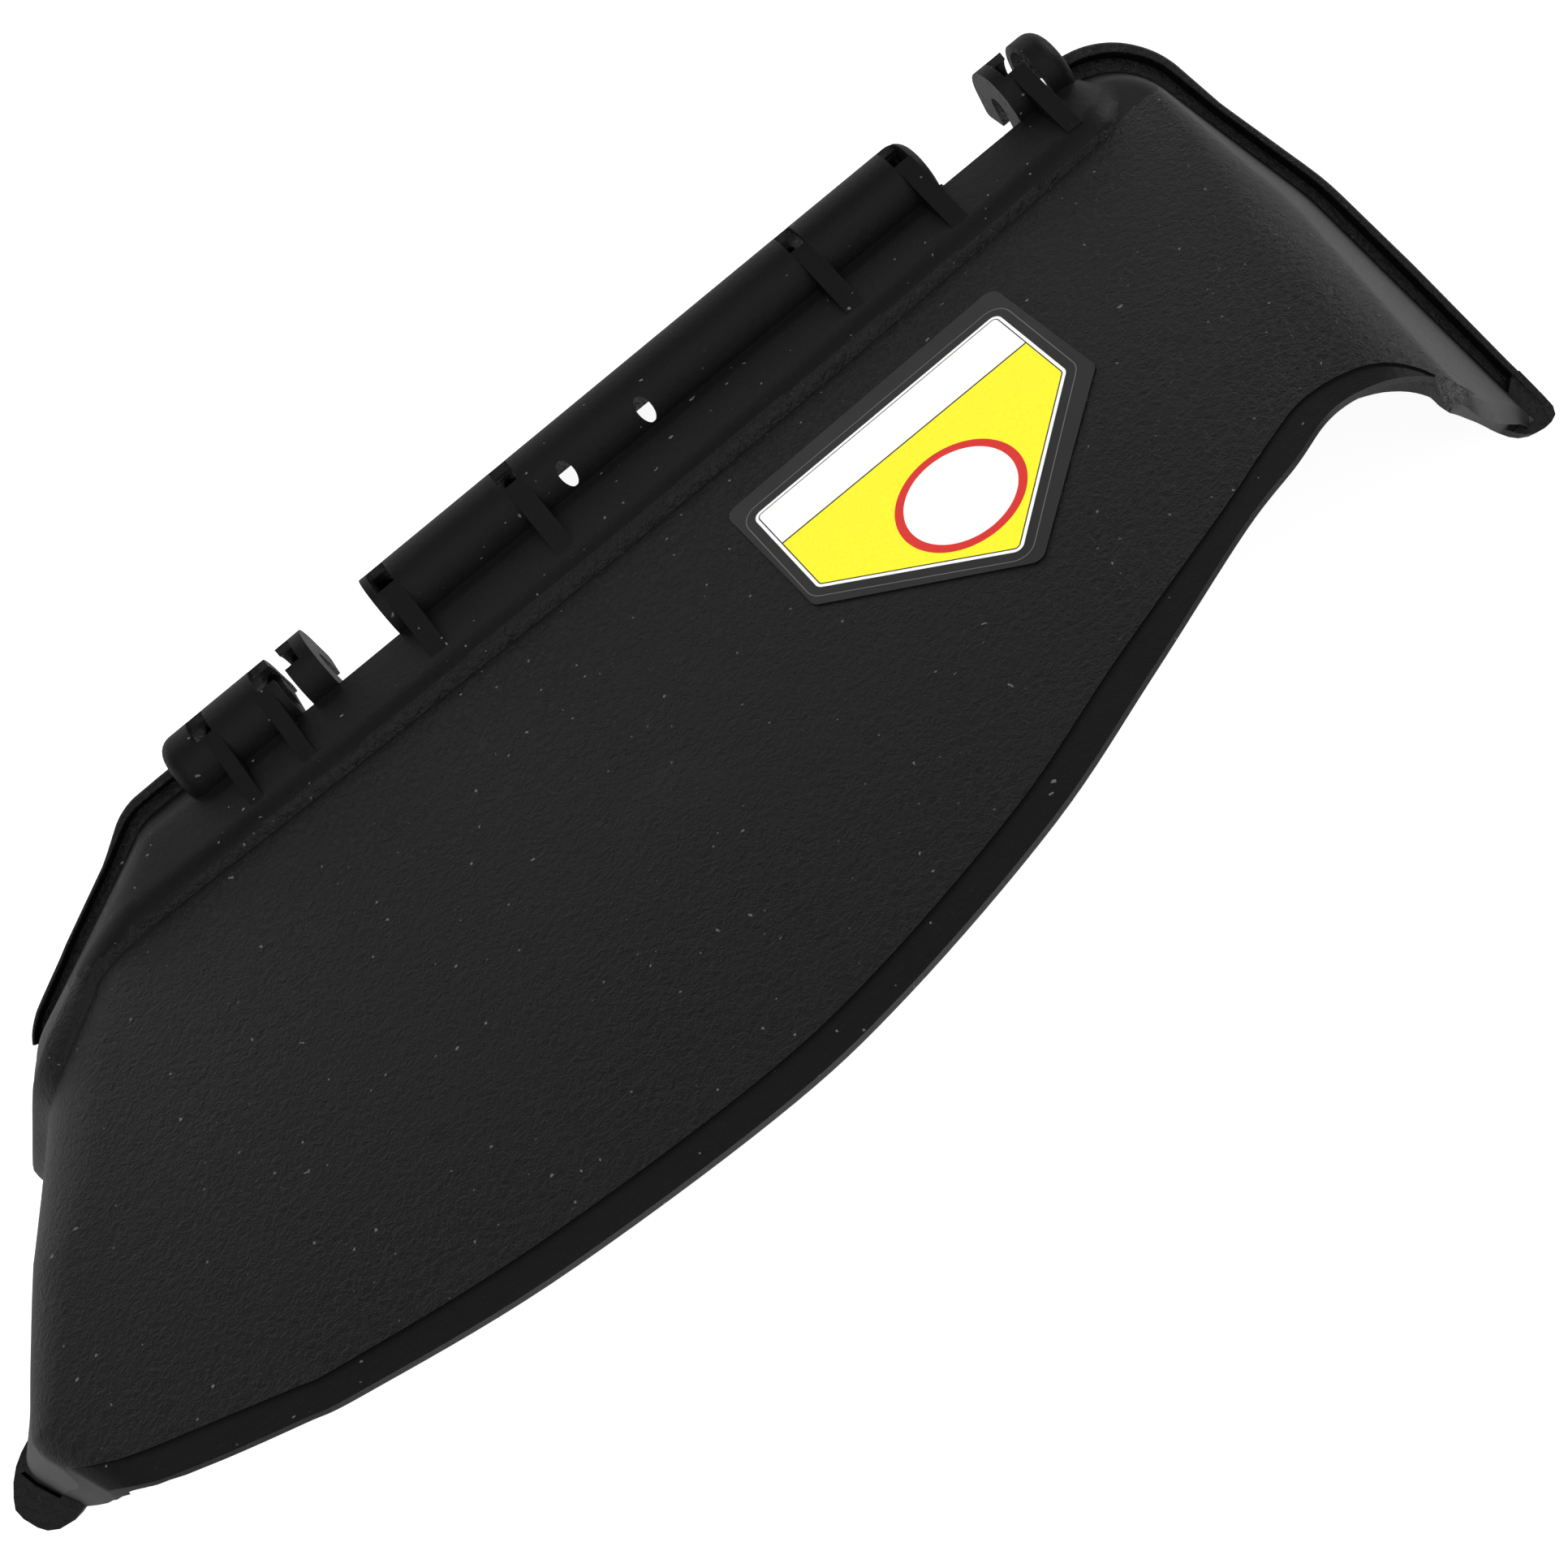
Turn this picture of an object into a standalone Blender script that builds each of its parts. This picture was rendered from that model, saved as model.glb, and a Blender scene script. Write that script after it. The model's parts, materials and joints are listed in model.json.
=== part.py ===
# Deflector chute of a garden tractor's mowing deck: one moulded hood with a hinge barrel, and its decal.
# Lengths are in millimetres; the meshes are scaled to metres as they are made.
# The hood lies on the flange of its walls, on the plane z = 0, with the hinge at +Y and the mouth at -Y.
#
# Two frames are used. In the plan frame (x, y, z) y grows from the hinge to the mouth, so world Y = -y.
# In the panel frame (x, a, n) a runs up the panel from the hinge to the mouth and n is its outward normal.

import math

import bmesh
import bpy
import numpy as np
from mathutils import Matrix, Vector

MM = 0.001
SMOOTH_ANGLE = math.radians(35.0)

# panel
PANEL_TILT = math.radians(43.0)
PANEL_N = 95.8
WALL = 3.2
BAND_DROP = 0.9
SECTION_STEP = 14.0
FINE_STEP = 5.0
FINE_START = -292.0
FINE_END = -246.0

# hinge strip, raised above the panel
STRIP_RISE = 5.5
SHOULDER = 11.5
STRIP_EDGE = -69.5
GAP_EDGE = -67.7
STRIP_END = 220.5
STRIP_ROUND = 10.0
WALL_RISE = 0.6

# hinge barrel
BARREL_A = -81.05
BARREL_N = 100.3
BARREL_R = 14.3
BARREL_WALL = 2.8
BARREL_LEG = 10.0
ROD_R = 4.2
SADDLE = 2.8
WINDOW_LOW = 0.3
GUSSET_FOOT = 46.0
ARC_STEP = math.radians(15.0)

# flange round the foot of the walls
FOOT_START = 2.1
FLOOR = 2.6
LIP_HEIGHT = 9.0
EDGE = 0.7

# decal
DECAL_CENTRE = 95.0
DECAL_TOP = -17.0
DECAL_WIDTH = 111.0
DECAL_SHOULDER = 57.0
DECAL_HEIGHT = 104.0
DECAL_ROUND = 4.0
DECAL_TURN = math.radians(-1.3)
DECAL_THICK = 0.3
TOUCH_GAP = 0.3

# walls: foot (x, y, rounding), the point of the panel its section aims at, draft and bend radius
WALL_LINE = (
    ((-331.0, 65.0, 0.0), (-200.0, 65.0), 25.6, 30.0),
    ((-349.0, 17.0, 10.0), (-238.0, 5.0), 25.6, 30.0),
    ((-295.0, -37.2, 0.0), (-219.5, -23.5), 17.2, 40.0),
    ((-243.0, -91.5, 25.0), (-201.0, -52.0), 13.5, 66.0),
    ((-175.0, -124.2, 14.0), (-163.0, -82.0), 20.0, 12.0),
    ((245.3, -121.8, 28.0), (200.0, -80.0), 20.0, 12.0),
    ((265.4, -40.0, 100.0), (196.0, -40.0), 21.5, 25.0),
    ((277.8, 80.0, 0.0), (165.0, 80.0), 21.5, 25.0),
)

# edge of the raised strip, as points (x, a)
STRIP_LINE = (
    (-345.0, -80.0), (-307.0, -75.0), (-286.5, -52.0), (-273.5, -34.0), (-258.0, -25.5), (-243.0, -20.5),
    (-231.0, -25.0),
    (-215.0, -38.0), (-200.0, -44.0), (-100.0, -41.0), (8.0, -39.0), (120.0, -41.0), (222.0, -46.0),
    (300.0, -56.0), (340.0, -60.0),
)

# mouth of the hood, and the step line of the lower band along it, as points (x, a)
MOUTH_LINE = (
    (-400.0, -30.0), (-352.0, 20.0), (-337.0, 35.7), (-325.0, 51.5), (-312.8, 67.6), (-293.0, 95.0),
    (-273.7, 121.4), (-256.0, 136.8), (-235.2, 145.8), (-206.9, 155.2), (-188.6, 160.5), (-130.0, 171.5),
    (-57.0, 176.5), (-10.0, 173.0), (49.0, 160.0), (96.0, 142.3), (142.7, 123.6), (166.0, 117.0),
    (180.0, 113.0), (189.2, 113.9), (198.0, 116.8), (206.4, 120.3), (213.4, 124.4), (218.6, 123.6),
    (228.6, 112.6), (241.0, 97.7), (254.5, 81.5), (265.0, 67.5), (275.0, 56.0), (292.0, 48.0), (330.0, 40.0),
)
BAND_LINE = (
    (-380.0, -27.0), (-360.0, 0.0), (-343.0, 23.6), (-315.0, 62.0), (-285.7, 102.1), (-271.4, 117.0),
    (-264.3, 122.6), (-253.3, 128.3), (-233.4, 135.6), (-204.7, 145.9), (-190.7, 150.1), (-130.0, 160.6),
    (-57.0, 165.6), (-11.5, 162.2), (45.5, 149.4), (92.0, 132.0), (144.1, 114.3), (160.2, 108.2),
    (176.4, 102.7), (184.9, 102.1), (192.4, 103.6), (204.5, 108.5), (210.1, 111.0), (214.5, 114.0),
    (220.0, 118.5), (228.0, 126.5), (244.0, 138.0), (300.0, 150.0),
)

# vertical planes that end the walls at the toe and at the right, as plan points
TOE_END = (
    (-375.0, 41.3), (-337.0, 41.3), (-312.0, 40.3), (-290.0, 39.6), (-276.0, 39.6), (-265.0, 41.4),
    (-254.0, 44.5), (-254.0, 95.0), (-375.0, 95.0),
)
RIGHT_END = ((252.0, 68.6), (310.0, 68.6), (310.0, 100.0), (252.0, 100.0))

# flange along the left wall by x, and along the right wall by y: gutter width and lip width
LEFT_FLANGE = (
    (-246.5, 0.3, 0.8), (-244.0, 0.9, 1.2), (-238.0, 1.9, 1.5), (-221.0, 2.2, 1.4), (-218.0, 2.6, 1.2),
    (-190.0, 2.4, 1.3), (-172.0, 3.2, 3.2), (-160.0, 3.3, 3.3),
)
RIGHT_FLANGE = (
    (-125.0, 4.2, 4.2), (-112.0, 3.4, 3.4), (-95.0, 2.6, 2.8), (-82.0, 2.0, 2.4), (-40.0, 2.2, 2.8),
    (0.0, 2.3, 3.0), (45.0, 2.0, 2.6),
)

# lobe of the flange at the toe, and the slit between it and the wall, as plan points
TOE_LOBE = (
    (-334.0, 8.0), (-337.5, 8.7), (-341.4, 10.4), (-345.5, 12.8), (-349.6, 16.4), (-352.9, 20.5),
    (-355.0, 24.0), (-354.8, 28.1), (-353.0, 33.3), (-351.0, 36.3), (-347.4, 38.5), (-341.4, 39.4),
    (-334.5, 37.5), (-337.0, 31.0), (-341.0, 22.0), (-342.0, 16.0),
)
TOE_SLIT = (
    (-345.8, 15.6), (-344.5, 22.0), (-342.3, 27.4), (-340.8, 30.6), (-339.6, 30.1), (-341.1, 26.9),
    (-343.2, 21.7), (-344.3, 15.9),
)

# return along the front edge of the right wall: edge point (x, y, z) and width
RETURN = (
    (189.5, 15.2, 143.9, 3.0), (199.0, 18.3, 146.8, 4.5), (208.0, 24.3, 148.6, 6.5), (215.0, 31.0, 147.0, 7.6),
    (221.0, 37.3, 137.5, 7.8), (228.5, 42.3, 116.5, 8.2), (244.0, 50.2, 77.0, 8.7), (262.0, 58.8, 30.0, 9.0),
    (270.0, 62.0, 9.0, 8.8), (272.6, 63.2, 2.4, 8.6),
)
RETURN_WALL = 2.8
RETURN_INSET = 2.3

# lengths of the barrel: start, end, web at start and end (0 is open), rounding at start and end
BARRELS = (
    (-153.5, -107.2, 3.0, 0.0, 6.0, 0.0),
    (-102.3, -91.6, 0.0, 3.0, 0.0, 0.0),
    (-65.9, 165.6, 3.0, 3.0, 0.0, 6.0),
    (198.1, 209.8, 3.0, 0.0, 0.0, 0.0),
    (212.5, 222.5, 0.0, 3.0, 0.0, 5.0),
)
WINDOWS = ((-140.2, -133.2), (-113.8, -107.0), (-102.5, -96.3), (-63.1, -55.9), (-10.3, -3.2),
           (111.8, 118.2), (155.8, 162.3), (202.6, 210.0))
GUSSETS = ((-137.2, -132.0), (-115.6, -110.0), (-61.8, -55.0), (-9.5, -2.4), (112.2, 118.9),
           (156.0, 162.7), (204.2, 210.4))
CROSS_HOLES = (9.9, 42.9)

SIN = math.sin(PANEL_TILT)
COS = math.cos(PANEL_TILT)


def from_plan(x, y, z):
    return Vector((x, -y, z))


def from_panel(x, a, n):
    return Vector((x, n * SIN - a * COS, a * SIN + n * COS))


def panel_height(y):
    return (PANEL_N + y * SIN) / COS


def smooth_step(value):
    value = min(1.0, max(0.0, value))
    return value * value * (3.0 - 2.0 * value)


def turned(vector, angle):
    c, s = math.cos(angle), math.sin(angle)
    return Vector((vector.x * c - vector.y * s, vector.x * s + vector.y * c))


def rounded(points, step=math.radians(9.0), closed=False):
    """Path through points (x, y, radius) with each corner turned into an arc."""
    path = []
    for index, (px, py, radius) in enumerate(points):
        here = Vector((px, py))
        if not closed and index in (0, len(points) - 1):
            path.append(here)
            continue
        way_in = (here - Vector(points[index - 1][:2])).normalized()
        way_out = (Vector(points[(index + 1) % len(points)][:2]) - here).normalized()
        turn = math.atan2(way_in.x * way_out.y - way_in.y * way_out.x, way_in.dot(way_out))
        cut = radius * math.tan(abs(turn) / 2.0)
        if cut < 1e-6:
            path.append(here)
            continue
        start = here - way_in * cut
        side = Vector((-way_in.y, way_in.x)) * math.copysign(1.0, turn)
        centre = start + side * radius
        pieces = max(1, math.ceil(abs(turn) / step))
        path += [centre + turned(start - centre, turn * k / pieces) for k in range(pieces + 1)]
    return path


def spline(points, spans):
    """Smooth curve through all points but the first and the last."""
    path = []
    for index in range(1, len(points) - 2):
        p0, p1, p2, p3 = (Vector(points[index + k]) for k in (-1, 0, 1, 2))
        for k in range(spans):
            t = k / spans
            cubic = (p2 - p0) * t + (2 * p0 - 5 * p1 + 4 * p2 - p3) * t * t
            path.append(0.5 * (2 * p1 + cubic + (3 * p1 - p0 - 3 * p2 + p3) * t ** 3))
    path.append(Vector(points[-2]))
    return path


def subdivided(path):
    """Adds points along a path, and more of them where the end of the strip crosses the wall."""
    fine = [path[0]]
    for start, end in zip(path, path[1:]):
        dense = min(start.x, end.x) < FINE_END and max(start.x, end.x) > FINE_START
        pieces = max(1, math.ceil((end - start).length / (FINE_STEP if dense else SECTION_STEP)))
        fine += [start.lerp(end, (k + 1) / pieces) for k in range(pieces)]
    return fine


# raised strip

STRIP_CURVE = spline(STRIP_LINE, 8)
STRIP_XS = [point.x for point in STRIP_CURVE]
STRIP_AS = [point.y for point in STRIP_CURVE]


def beyond_strip(x, a):
    return a - float(np.interp(x, STRIP_XS, STRIP_AS))


def rise_at(x, a):
    along, across = beyond_strip(x, a), x - STRIP_END
    corner = Vector((max(along + STRIP_ROUND, 0.0), max(across + STRIP_ROUND, 0.0))).length
    distance = min(max(along, across), -STRIP_ROUND) + corner
    full = STRIP_RISE + WALL_RISE * smooth_step((-234.0 - x) / 20.0)
    return full * (1.0 - smooth_step(distance / SHOULDER + 0.5))


# walls and panel

def wall_stations():
    """Places along the foot of the walls, each with its section's aim, draft and bend radius."""
    path = subdivided(rounded([entry[0] for entry in WALL_LINE]))
    lengths = [0.0]
    for start, end in zip(path, path[1:]):
        lengths.append(lengths[-1] + (end - start).length)
    marks = []
    for (px, py, _radius), _aim, _draft, _bend in WALL_LINE:
        nearest = min(range(len(path)), key=lambda k: (path[k] - Vector((px, py))).length)
        marks.append(lengths[nearest])
    stations = []
    for index, foot in enumerate(path):
        def between(values):
            return float(np.interp(lengths[index], marks, values))
        aim = Vector((between([e[1][0] for e in WALL_LINE]), between([e[1][1] for e in WALL_LINE])))
        draft = math.radians(between([e[2] for e in WALL_LINE]))
        bend = between([e[3] for e in WALL_LINE])
        ahead = path[min(index + 1, len(path) - 1)] - path[max(index - 1, 0)]
        outward = Vector((ahead.y, -ahead.x)).normalized()
        stations.append((foot, aim, draft, bend, outward))
    return stations


def wall_profile(station):
    """Dense section (d, z) from the foot up the wall, over the bend and in on the panel."""
    foot, aim, draft, bend, _outward = station
    inward = (aim - foot).normalized()
    reach = (aim - foot).length
    slope = math.tan(PANEL_TILT) * inward.y
    height = panel_height(foot.y)
    corner_d = height / (1.0 / math.tan(draft) - slope)
    corner_z = corner_d / math.tan(draft)
    wall_angle = math.pi / 2.0 - draft
    panel_angle = math.atan(slope)
    turn = wall_angle - panel_angle
    wall_run = (corner_z - FOOT_START) / math.cos(draft)
    panel_run = (reach - corner_d) / math.cos(panel_angle)
    tangent = min(bend * math.tan(turn / 2.0), wall_run * 0.8, panel_run * 0.8)
    radius = tangent / math.tan(turn / 2.0)
    samples = [(FOOT_START * math.tan(draft), FOOT_START, 0.0)]
    arc_d = corner_d - tangent * math.cos(wall_angle)
    arc_z = corner_z - tangent * math.sin(wall_angle)
    straight = math.hypot(arc_d - samples[0][0], arc_z - FOOT_START)
    for k in range(1, 25):
        t = k / 24
        samples.append((samples[0][0] + (arc_d - samples[0][0]) * t, FOOT_START + (arc_z - FOOT_START) * t,
                        straight * t / 9.0))
    for k in range(1, 33):
        angle = wall_angle - turn * k / 32
        samples.append((arc_d + radius * (math.sin(wall_angle) - math.sin(angle)),
                        arc_z - radius * (math.cos(wall_angle) - math.cos(angle)),
                        straight / 9.0 + (turn * k / 32) / math.radians(9.0)))
    last_d, last_z, last_m = samples[-1]
    rest = reach - last_d
    for k in range(1, 17):
        samples.append((last_d + rest * k / 16, last_z + slope * rest * k / 16, last_m + rest * k / 16 / 9.0))
    return inward, samples


def wall_section(station, counts=(4, 5, 9)):
    """Points of one section: up to the strip's shoulder, across it, and on to the panel."""
    foot, _aim, _draft, _bend, _outward = station
    inward, samples = wall_profile(station)
    marks = [m for _d, _z, m in samples]
    sides = []
    for d, z, _m in samples:
        spot = foot + inward * d
        sides.append(beyond_strip(spot.x, spot.y * COS + z * SIN))
    first, last = marks[0] + 0.35, marks[-1]
    cuts = []
    for level in (-SHOULDER / 2.0, SHOULDER / 2.0):
        crossing = float(np.interp(level, np.maximum.accumulate(sides), marks))
        cuts.append(crossing)
    low = min(max(cuts[0], first), last - 1.2)
    high = min(max(cuts[1], low + 0.35), last - 0.6)
    stops = [marks[0], low, high, last]
    places = []
    for part, count in enumerate(counts):
        places += [stops[part] + (stops[part + 1] - stops[part]) * k / count for k in range(count)]
    places.append(last)
    points = []
    for place in places:
        d = float(np.interp(place, marks, [s[0] for s in samples]))
        z = float(np.interp(place, marks, [s[1] for s in samples]))
        spot = foot + inward * d
        points.append((spot.x, spot.y, z))
    return points


def new_object(name, bm, collection, smooth=False):
    mesh = bpy.data.meshes.new(name)
    bmesh.ops.scale(bm, vec=(MM, MM, MM), verts=bm.verts)
    bm.to_mesh(mesh)
    bm.free()
    if smooth:
        mesh.shade_smooth()
        mesh.set_sharp_from_angle(angle=SMOOTH_ANGLE)
    thing = bpy.data.objects.new(name, mesh)
    collection.objects.link(thing)
    return thing


def hood_skin(name, drop, thickness, inwards, collection):
    """Walls and panel as one open surface, raised at the hinge strip, then thickened."""
    bm = bmesh.new()
    rows = []
    for station in wall_stations():
        rows.append([bm.verts.new(from_plan(*point)) for point in wall_section(station)])
    for left, right in zip(rows, rows[1:]):
        for k in range(len(left) - 1):
            bm.faces.new((left[k], left[k + 1], right[k + 1], right[k]))
    bm.faces.new([row[-1] for row in reversed(rows)])
    bmesh.ops.recalc_face_normals(bm, faces=bm.faces)
    bm.normal_update()
    if max(bm.faces, key=lambda face: face.calc_area()).normal.z < 0:
        bmesh.ops.reverse_faces(bm, faces=bm.faces)
        bm.normal_update()
    shifts = []
    for vert in bm.verts:
        x, a = vert.co.x, vert.co.z * SIN - vert.co.y * COS
        shifts.append(vert.normal * (rise_at(x, a) - drop))
    for vert, shift in zip(bm.verts, shifts):
        vert.co += shift
    for row in rows:
        row[0].co.z = FOOT_START
    skin = new_object(name, bm, collection, smooth=True)
    solid = skin.modifiers.new("thickness", "SOLIDIFY")
    solid.thickness = thickness * MM
    solid.offset = -1.0 if inwards else 1.0
    solid.use_even_offset = True
    return skin


# solids

def prism(bm, outline, start, end, place):
    """Closed prism over an outline, from the place at start to the place at end."""
    low = [bm.verts.new(place(p, start)) for p in outline]
    high = [bm.verts.new(place(p, end)) for p in outline]
    faces = [bm.faces.new(low), bm.faces.new(high)]
    for k in range(len(outline)):
        j = (k + 1) % len(outline)
        faces.append(bm.faces.new((low[k], low[j], high[j], high[k])))
    bmesh.ops.recalc_face_normals(bm, faces=faces)


def along_hinge(point, x):
    return from_panel(x, BARREL_A + point.x, BARREL_N + point.y)


def through_panel(point, n):
    return from_panel(point.x, point.y, n)


def tombstone(radius, leg, closed_round=0.0):
    """Half circle over two straight legs, in the frame of the rod."""
    pieces = math.ceil(math.pi / ARC_STEP)
    arc = [Vector((radius * math.cos(math.pi * k / pieces), radius * math.sin(math.pi * k / pieces)))
           for k in range(pieces + 1)]
    feet = rounded(((-radius, 0.0, 0.0), (-radius, -leg, closed_round), (radius, -leg, closed_round),
                    (radius, 0.0, 0.0)), math.radians(30.0))
    return arc + feet[1:-1]


def beyond_line(name, points, collection):
    """Everything past a line across the hood, square to the panel."""
    outline = spline(points, 3)
    low = min(outline[0].y, -10.0)
    outline += [Vector((460.0, outline[-1].y)), Vector((460.0, 400.0)), Vector((-460.0, 400.0)),
                Vector((-460.0, low))]
    bm = bmesh.new()
    prism(bm, outline, -330.0, 200.0, through_panel)
    return new_object(name, bm, collection)


def hinge_cutter(collection):
    """Clears the wall where the barrel takes its place, and the bracket gaps of the strip."""
    left, right = BARRELS[0][0] + 1.0, BARRELS[-1][1] - 1.0
    outline = [Vector((left, -150.0)), Vector((right, -150.0)), Vector((right, STRIP_EDGE))]
    for before, after in reversed(list(zip(BARRELS, BARRELS[1:]))):
        outline += [Vector((after[0], STRIP_EDGE)), Vector((after[0], GAP_EDGE)),
                    Vector((before[1], GAP_EDGE)), Vector((before[1], STRIP_EDGE))]
    outline.append(Vector((left, STRIP_EDGE)))
    bm = bmesh.new()
    prism(bm, outline, -40.0, 130.0, through_panel)
    return new_object("hinge_cutter", bm, collection)


def flange_sizes(foot):
    """Gutter width, lip width and floor height at a place of the foot."""
    if foot.x < 0.0:
        table, place, floor = LEFT_FLANGE, foot.x, FLOOR
    else:
        table, place = RIGHT_FLANGE, foot.y
        floor = FLOOR + (LIP_HEIGHT - 1.0 - FLOOR) * smooth_step((foot.y - 50.0) / 6.0)
    places = [row[0] for row in table]
    gutter = float(np.interp(place, places, [row[1] for row in table]))
    lip = float(np.interp(place, places, [row[2] for row in table]))
    return gutter, lip, floor


def flange(name, stations, collection):
    """Turned-out flange with an upturned lip, swept along the foot of a wall."""
    bm = bmesh.new()
    loops = []
    for foot, _aim, draft, _bend, outward in stations:
        gutter, lip, floor = flange_sizes(foot)
        edge = min(EDGE, lip * 0.4)
        start = rise_at(foot.x, foot.y * COS) * math.cos(draft)
        inner, outer = start + gutter, start + gutter + lip
        section = ((start - 1.7, 0.0), (outer - edge, 0.0), (outer, edge), (outer, LIP_HEIGHT - edge),
                   (outer - edge, LIP_HEIGHT), (inner + edge / 2.0, LIP_HEIGHT),
                   (inner, LIP_HEIGHT - edge / 2.0), (inner, floor), (start - 1.7, floor))
        loop = []
        for d, z in section:
            spot = foot + outward * d
            loop.append(bm.verts.new(from_plan(spot.x, spot.y, z)))
        loops.append(loop)
    for left, right in zip(loops, loops[1:]):
        for k in range(len(left)):
            j = (k + 1) % len(left)
            bm.faces.new((left[k], left[j], right[j], right[k]))
    bm.faces.new(loops[0])
    bm.faces.new(loops[-1])
    bmesh.ops.recalc_face_normals(bm, faces=bm.faces)
    return new_object(name, bm, collection)


def plan_prism(name, outline, low, high, collection):
    bm = bmesh.new()
    prism(bm, [Vector(p) for p in outline], low, high, lambda p, z: from_plan(p.x, p.y, z))
    return new_object(name, bm, collection)


def wall_return(collection):
    """Plate turned inwards along the front edge of the right wall."""
    back = Vector((0.0, -COS, -SIN)) * RETURN_WALL
    loops = []
    bm = bmesh.new()
    for x, y, z, width in RETURN:
        edge = Vector((x - RETURN_INSET, y, z))
        inner = Vector((x - width, y, z))
        loops.append([bm.verts.new(from_plan(*p)) for p in (edge, inner, inner + back, edge + back)])
    for left, right in zip(loops, loops[1:]):
        for k in range(4):
            bm.faces.new((left[k], left[(k + 1) % 4], right[(k + 1) % 4], right[k]))
    bm.faces.new(loops[0])
    bm.faces.new(loops[-1])
    bmesh.ops.recalc_face_normals(bm, faces=bm.faces)
    return new_object("wall_return", bm, collection)


def rounded_end(end, inwards, round_radius):
    """Rings (x, radius) of a barrel's end, from the face to the full radius."""
    if not round_radius:
        return [(end, BARREL_R)]
    rings = []
    for k in range(5):
        angle = math.pi / 2.0 * k / 4
        rings.append((end + inwards * round_radius * (1.0 - math.cos(angle)),
                      BARREL_R - round_radius * (1.0 - math.sin(angle))))
    return rings


def barrel_bodies(collection):
    bm = bmesh.new()
    for start, end, _web_a, _web_b, round_a, round_b in BARRELS:
        rings = rounded_end(start, 1.0, round_a) + rounded_end(end, -1.0, round_b)[::-1]
        loops = []
        for x, radius in rings:
            outline = tombstone(radius, BARREL_LEG, 2.0)
            loops.append([bm.verts.new(along_hinge(p, x)) for p in outline])
        faces = [bm.faces.new(loops[0]), bm.faces.new(loops[-1])]
        for left, right in zip(loops, loops[1:]):
            for k in range(len(left)):
                j = (k + 1) % len(left)
                faces.append(bm.faces.new((left[k], left[j], right[j], right[k])))
        bmesh.ops.recalc_face_normals(bm, faces=faces)
    return new_object("barrel_bodies", bm, collection, smooth=True)


def strap_foot():
    return Vector((GUSSET_FOOT - BARREL_R + 2.0, PANEL_N + STRIP_RISE - BARREL_N))


def crown_angle():
    """Where the top of a gusset strap leaves the barrel, seen from the rod."""
    foot = strap_foot()
    return math.atan2(foot.y, foot.x) + math.acos(BARREL_R / foot.length)


def barrel_cutter(collection):
    """Hollow of each barrel, rod channel, windows and cross holes."""
    bm = bmesh.new()
    deep = 40.0
    for start, end, web_a, web_b, _round_a, _round_b in BARRELS:
        low = start + (web_a or -1.0)
        high = end - (web_b or -1.0)
        outline = tombstone(BARREL_R - BARREL_WALL, deep)
        outline[-1:] = [Vector((BARREL_R + 6.0, -deep)), Vector((BARREL_R + 6.0, -BARREL_WALL / 2.0)),
                        Vector((BARREL_R - BARREL_WALL, -BARREL_WALL / 2.0))]
        prism(bm, outline, low, high, along_hinge)
    hollow = new_object("barrel_hollow", bm, collection)
    bm = bmesh.new()
    prism(bm, tombstone(ROD_R, deep), BARRELS[0][0] - 5.0, BARRELS[-1][1] + 5.0, along_hinge)
    rod = new_object("rod_cutter", bm, collection)
    bm = bmesh.new()
    crown = crown_angle()
    outline = [Vector((0.0, WINDOW_LOW)), Vector((40.0 * math.cos(crown), 40.0 * math.sin(crown))),
               Vector((-30.0, 37.0)), Vector((-30.0, WINDOW_LOW))]
    for left, right in WINDOWS:
        prism(bm, outline, left, right, along_hinge)
    window = new_object("window_cutter", bm, collection)
    bm = bmesh.new()
    for centre in CROSS_HOLES:
        oval = [Vector((centre + 2.7 * math.cos(k * math.pi / 8), -123.7 + 4.9 * math.sin(k * math.pi / 8)))
                for k in range(16)]
        prism(bm, oval, -10.0, 60.0, lambda p, z: from_plan(p.x, p.y, z))
    hole = new_object("hole_cutter", bm, collection)
    return hollow, rod, window, hole


def saddles(collection):
    """Seats under the windows that close the rod channel from below."""
    bm = bmesh.new()
    half = BARREL_R - BARREL_WALL / 2.0
    outline = [Vector((-half, -0.3)), Vector((-half, -ROD_R - SADDLE)),
               Vector((half, -ROD_R - SADDLE)), Vector((half, -0.3))]
    outline += [Vector((ROD_R * math.cos(math.pi * k / 8), -0.3 - ROD_R * math.sin(math.pi * k / 8)))
                for k in range(9)]
    for left, right in WINDOWS:
        prism(bm, outline, left + 0.6, right - 0.6, along_hinge)
    return new_object("saddles", bm, collection)


def gussets(collection):
    """Straps that run tangent from the crown of the barrel down to the strip."""
    foot, crown = strap_foot(), crown_angle()
    inner = BARREL_R - BARREL_WALL + 0.4
    arc = [Vector((inner * math.cos(crown * k / 6), inner * math.sin(crown * k / 6))) for k in range(7)]
    outline = [Vector((BARREL_R * math.cos(crown), BARREL_R * math.sin(crown))), foot,
               Vector((foot.x, foot.y - 1.6)), Vector((inner + 0.6, foot.y - 1.6))] + arc[1:]
    bm = bmesh.new()
    for left, right in GUSSETS:
        prism(bm, outline, left, right, along_hinge)
    return new_object("gussets", bm, collection)


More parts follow.
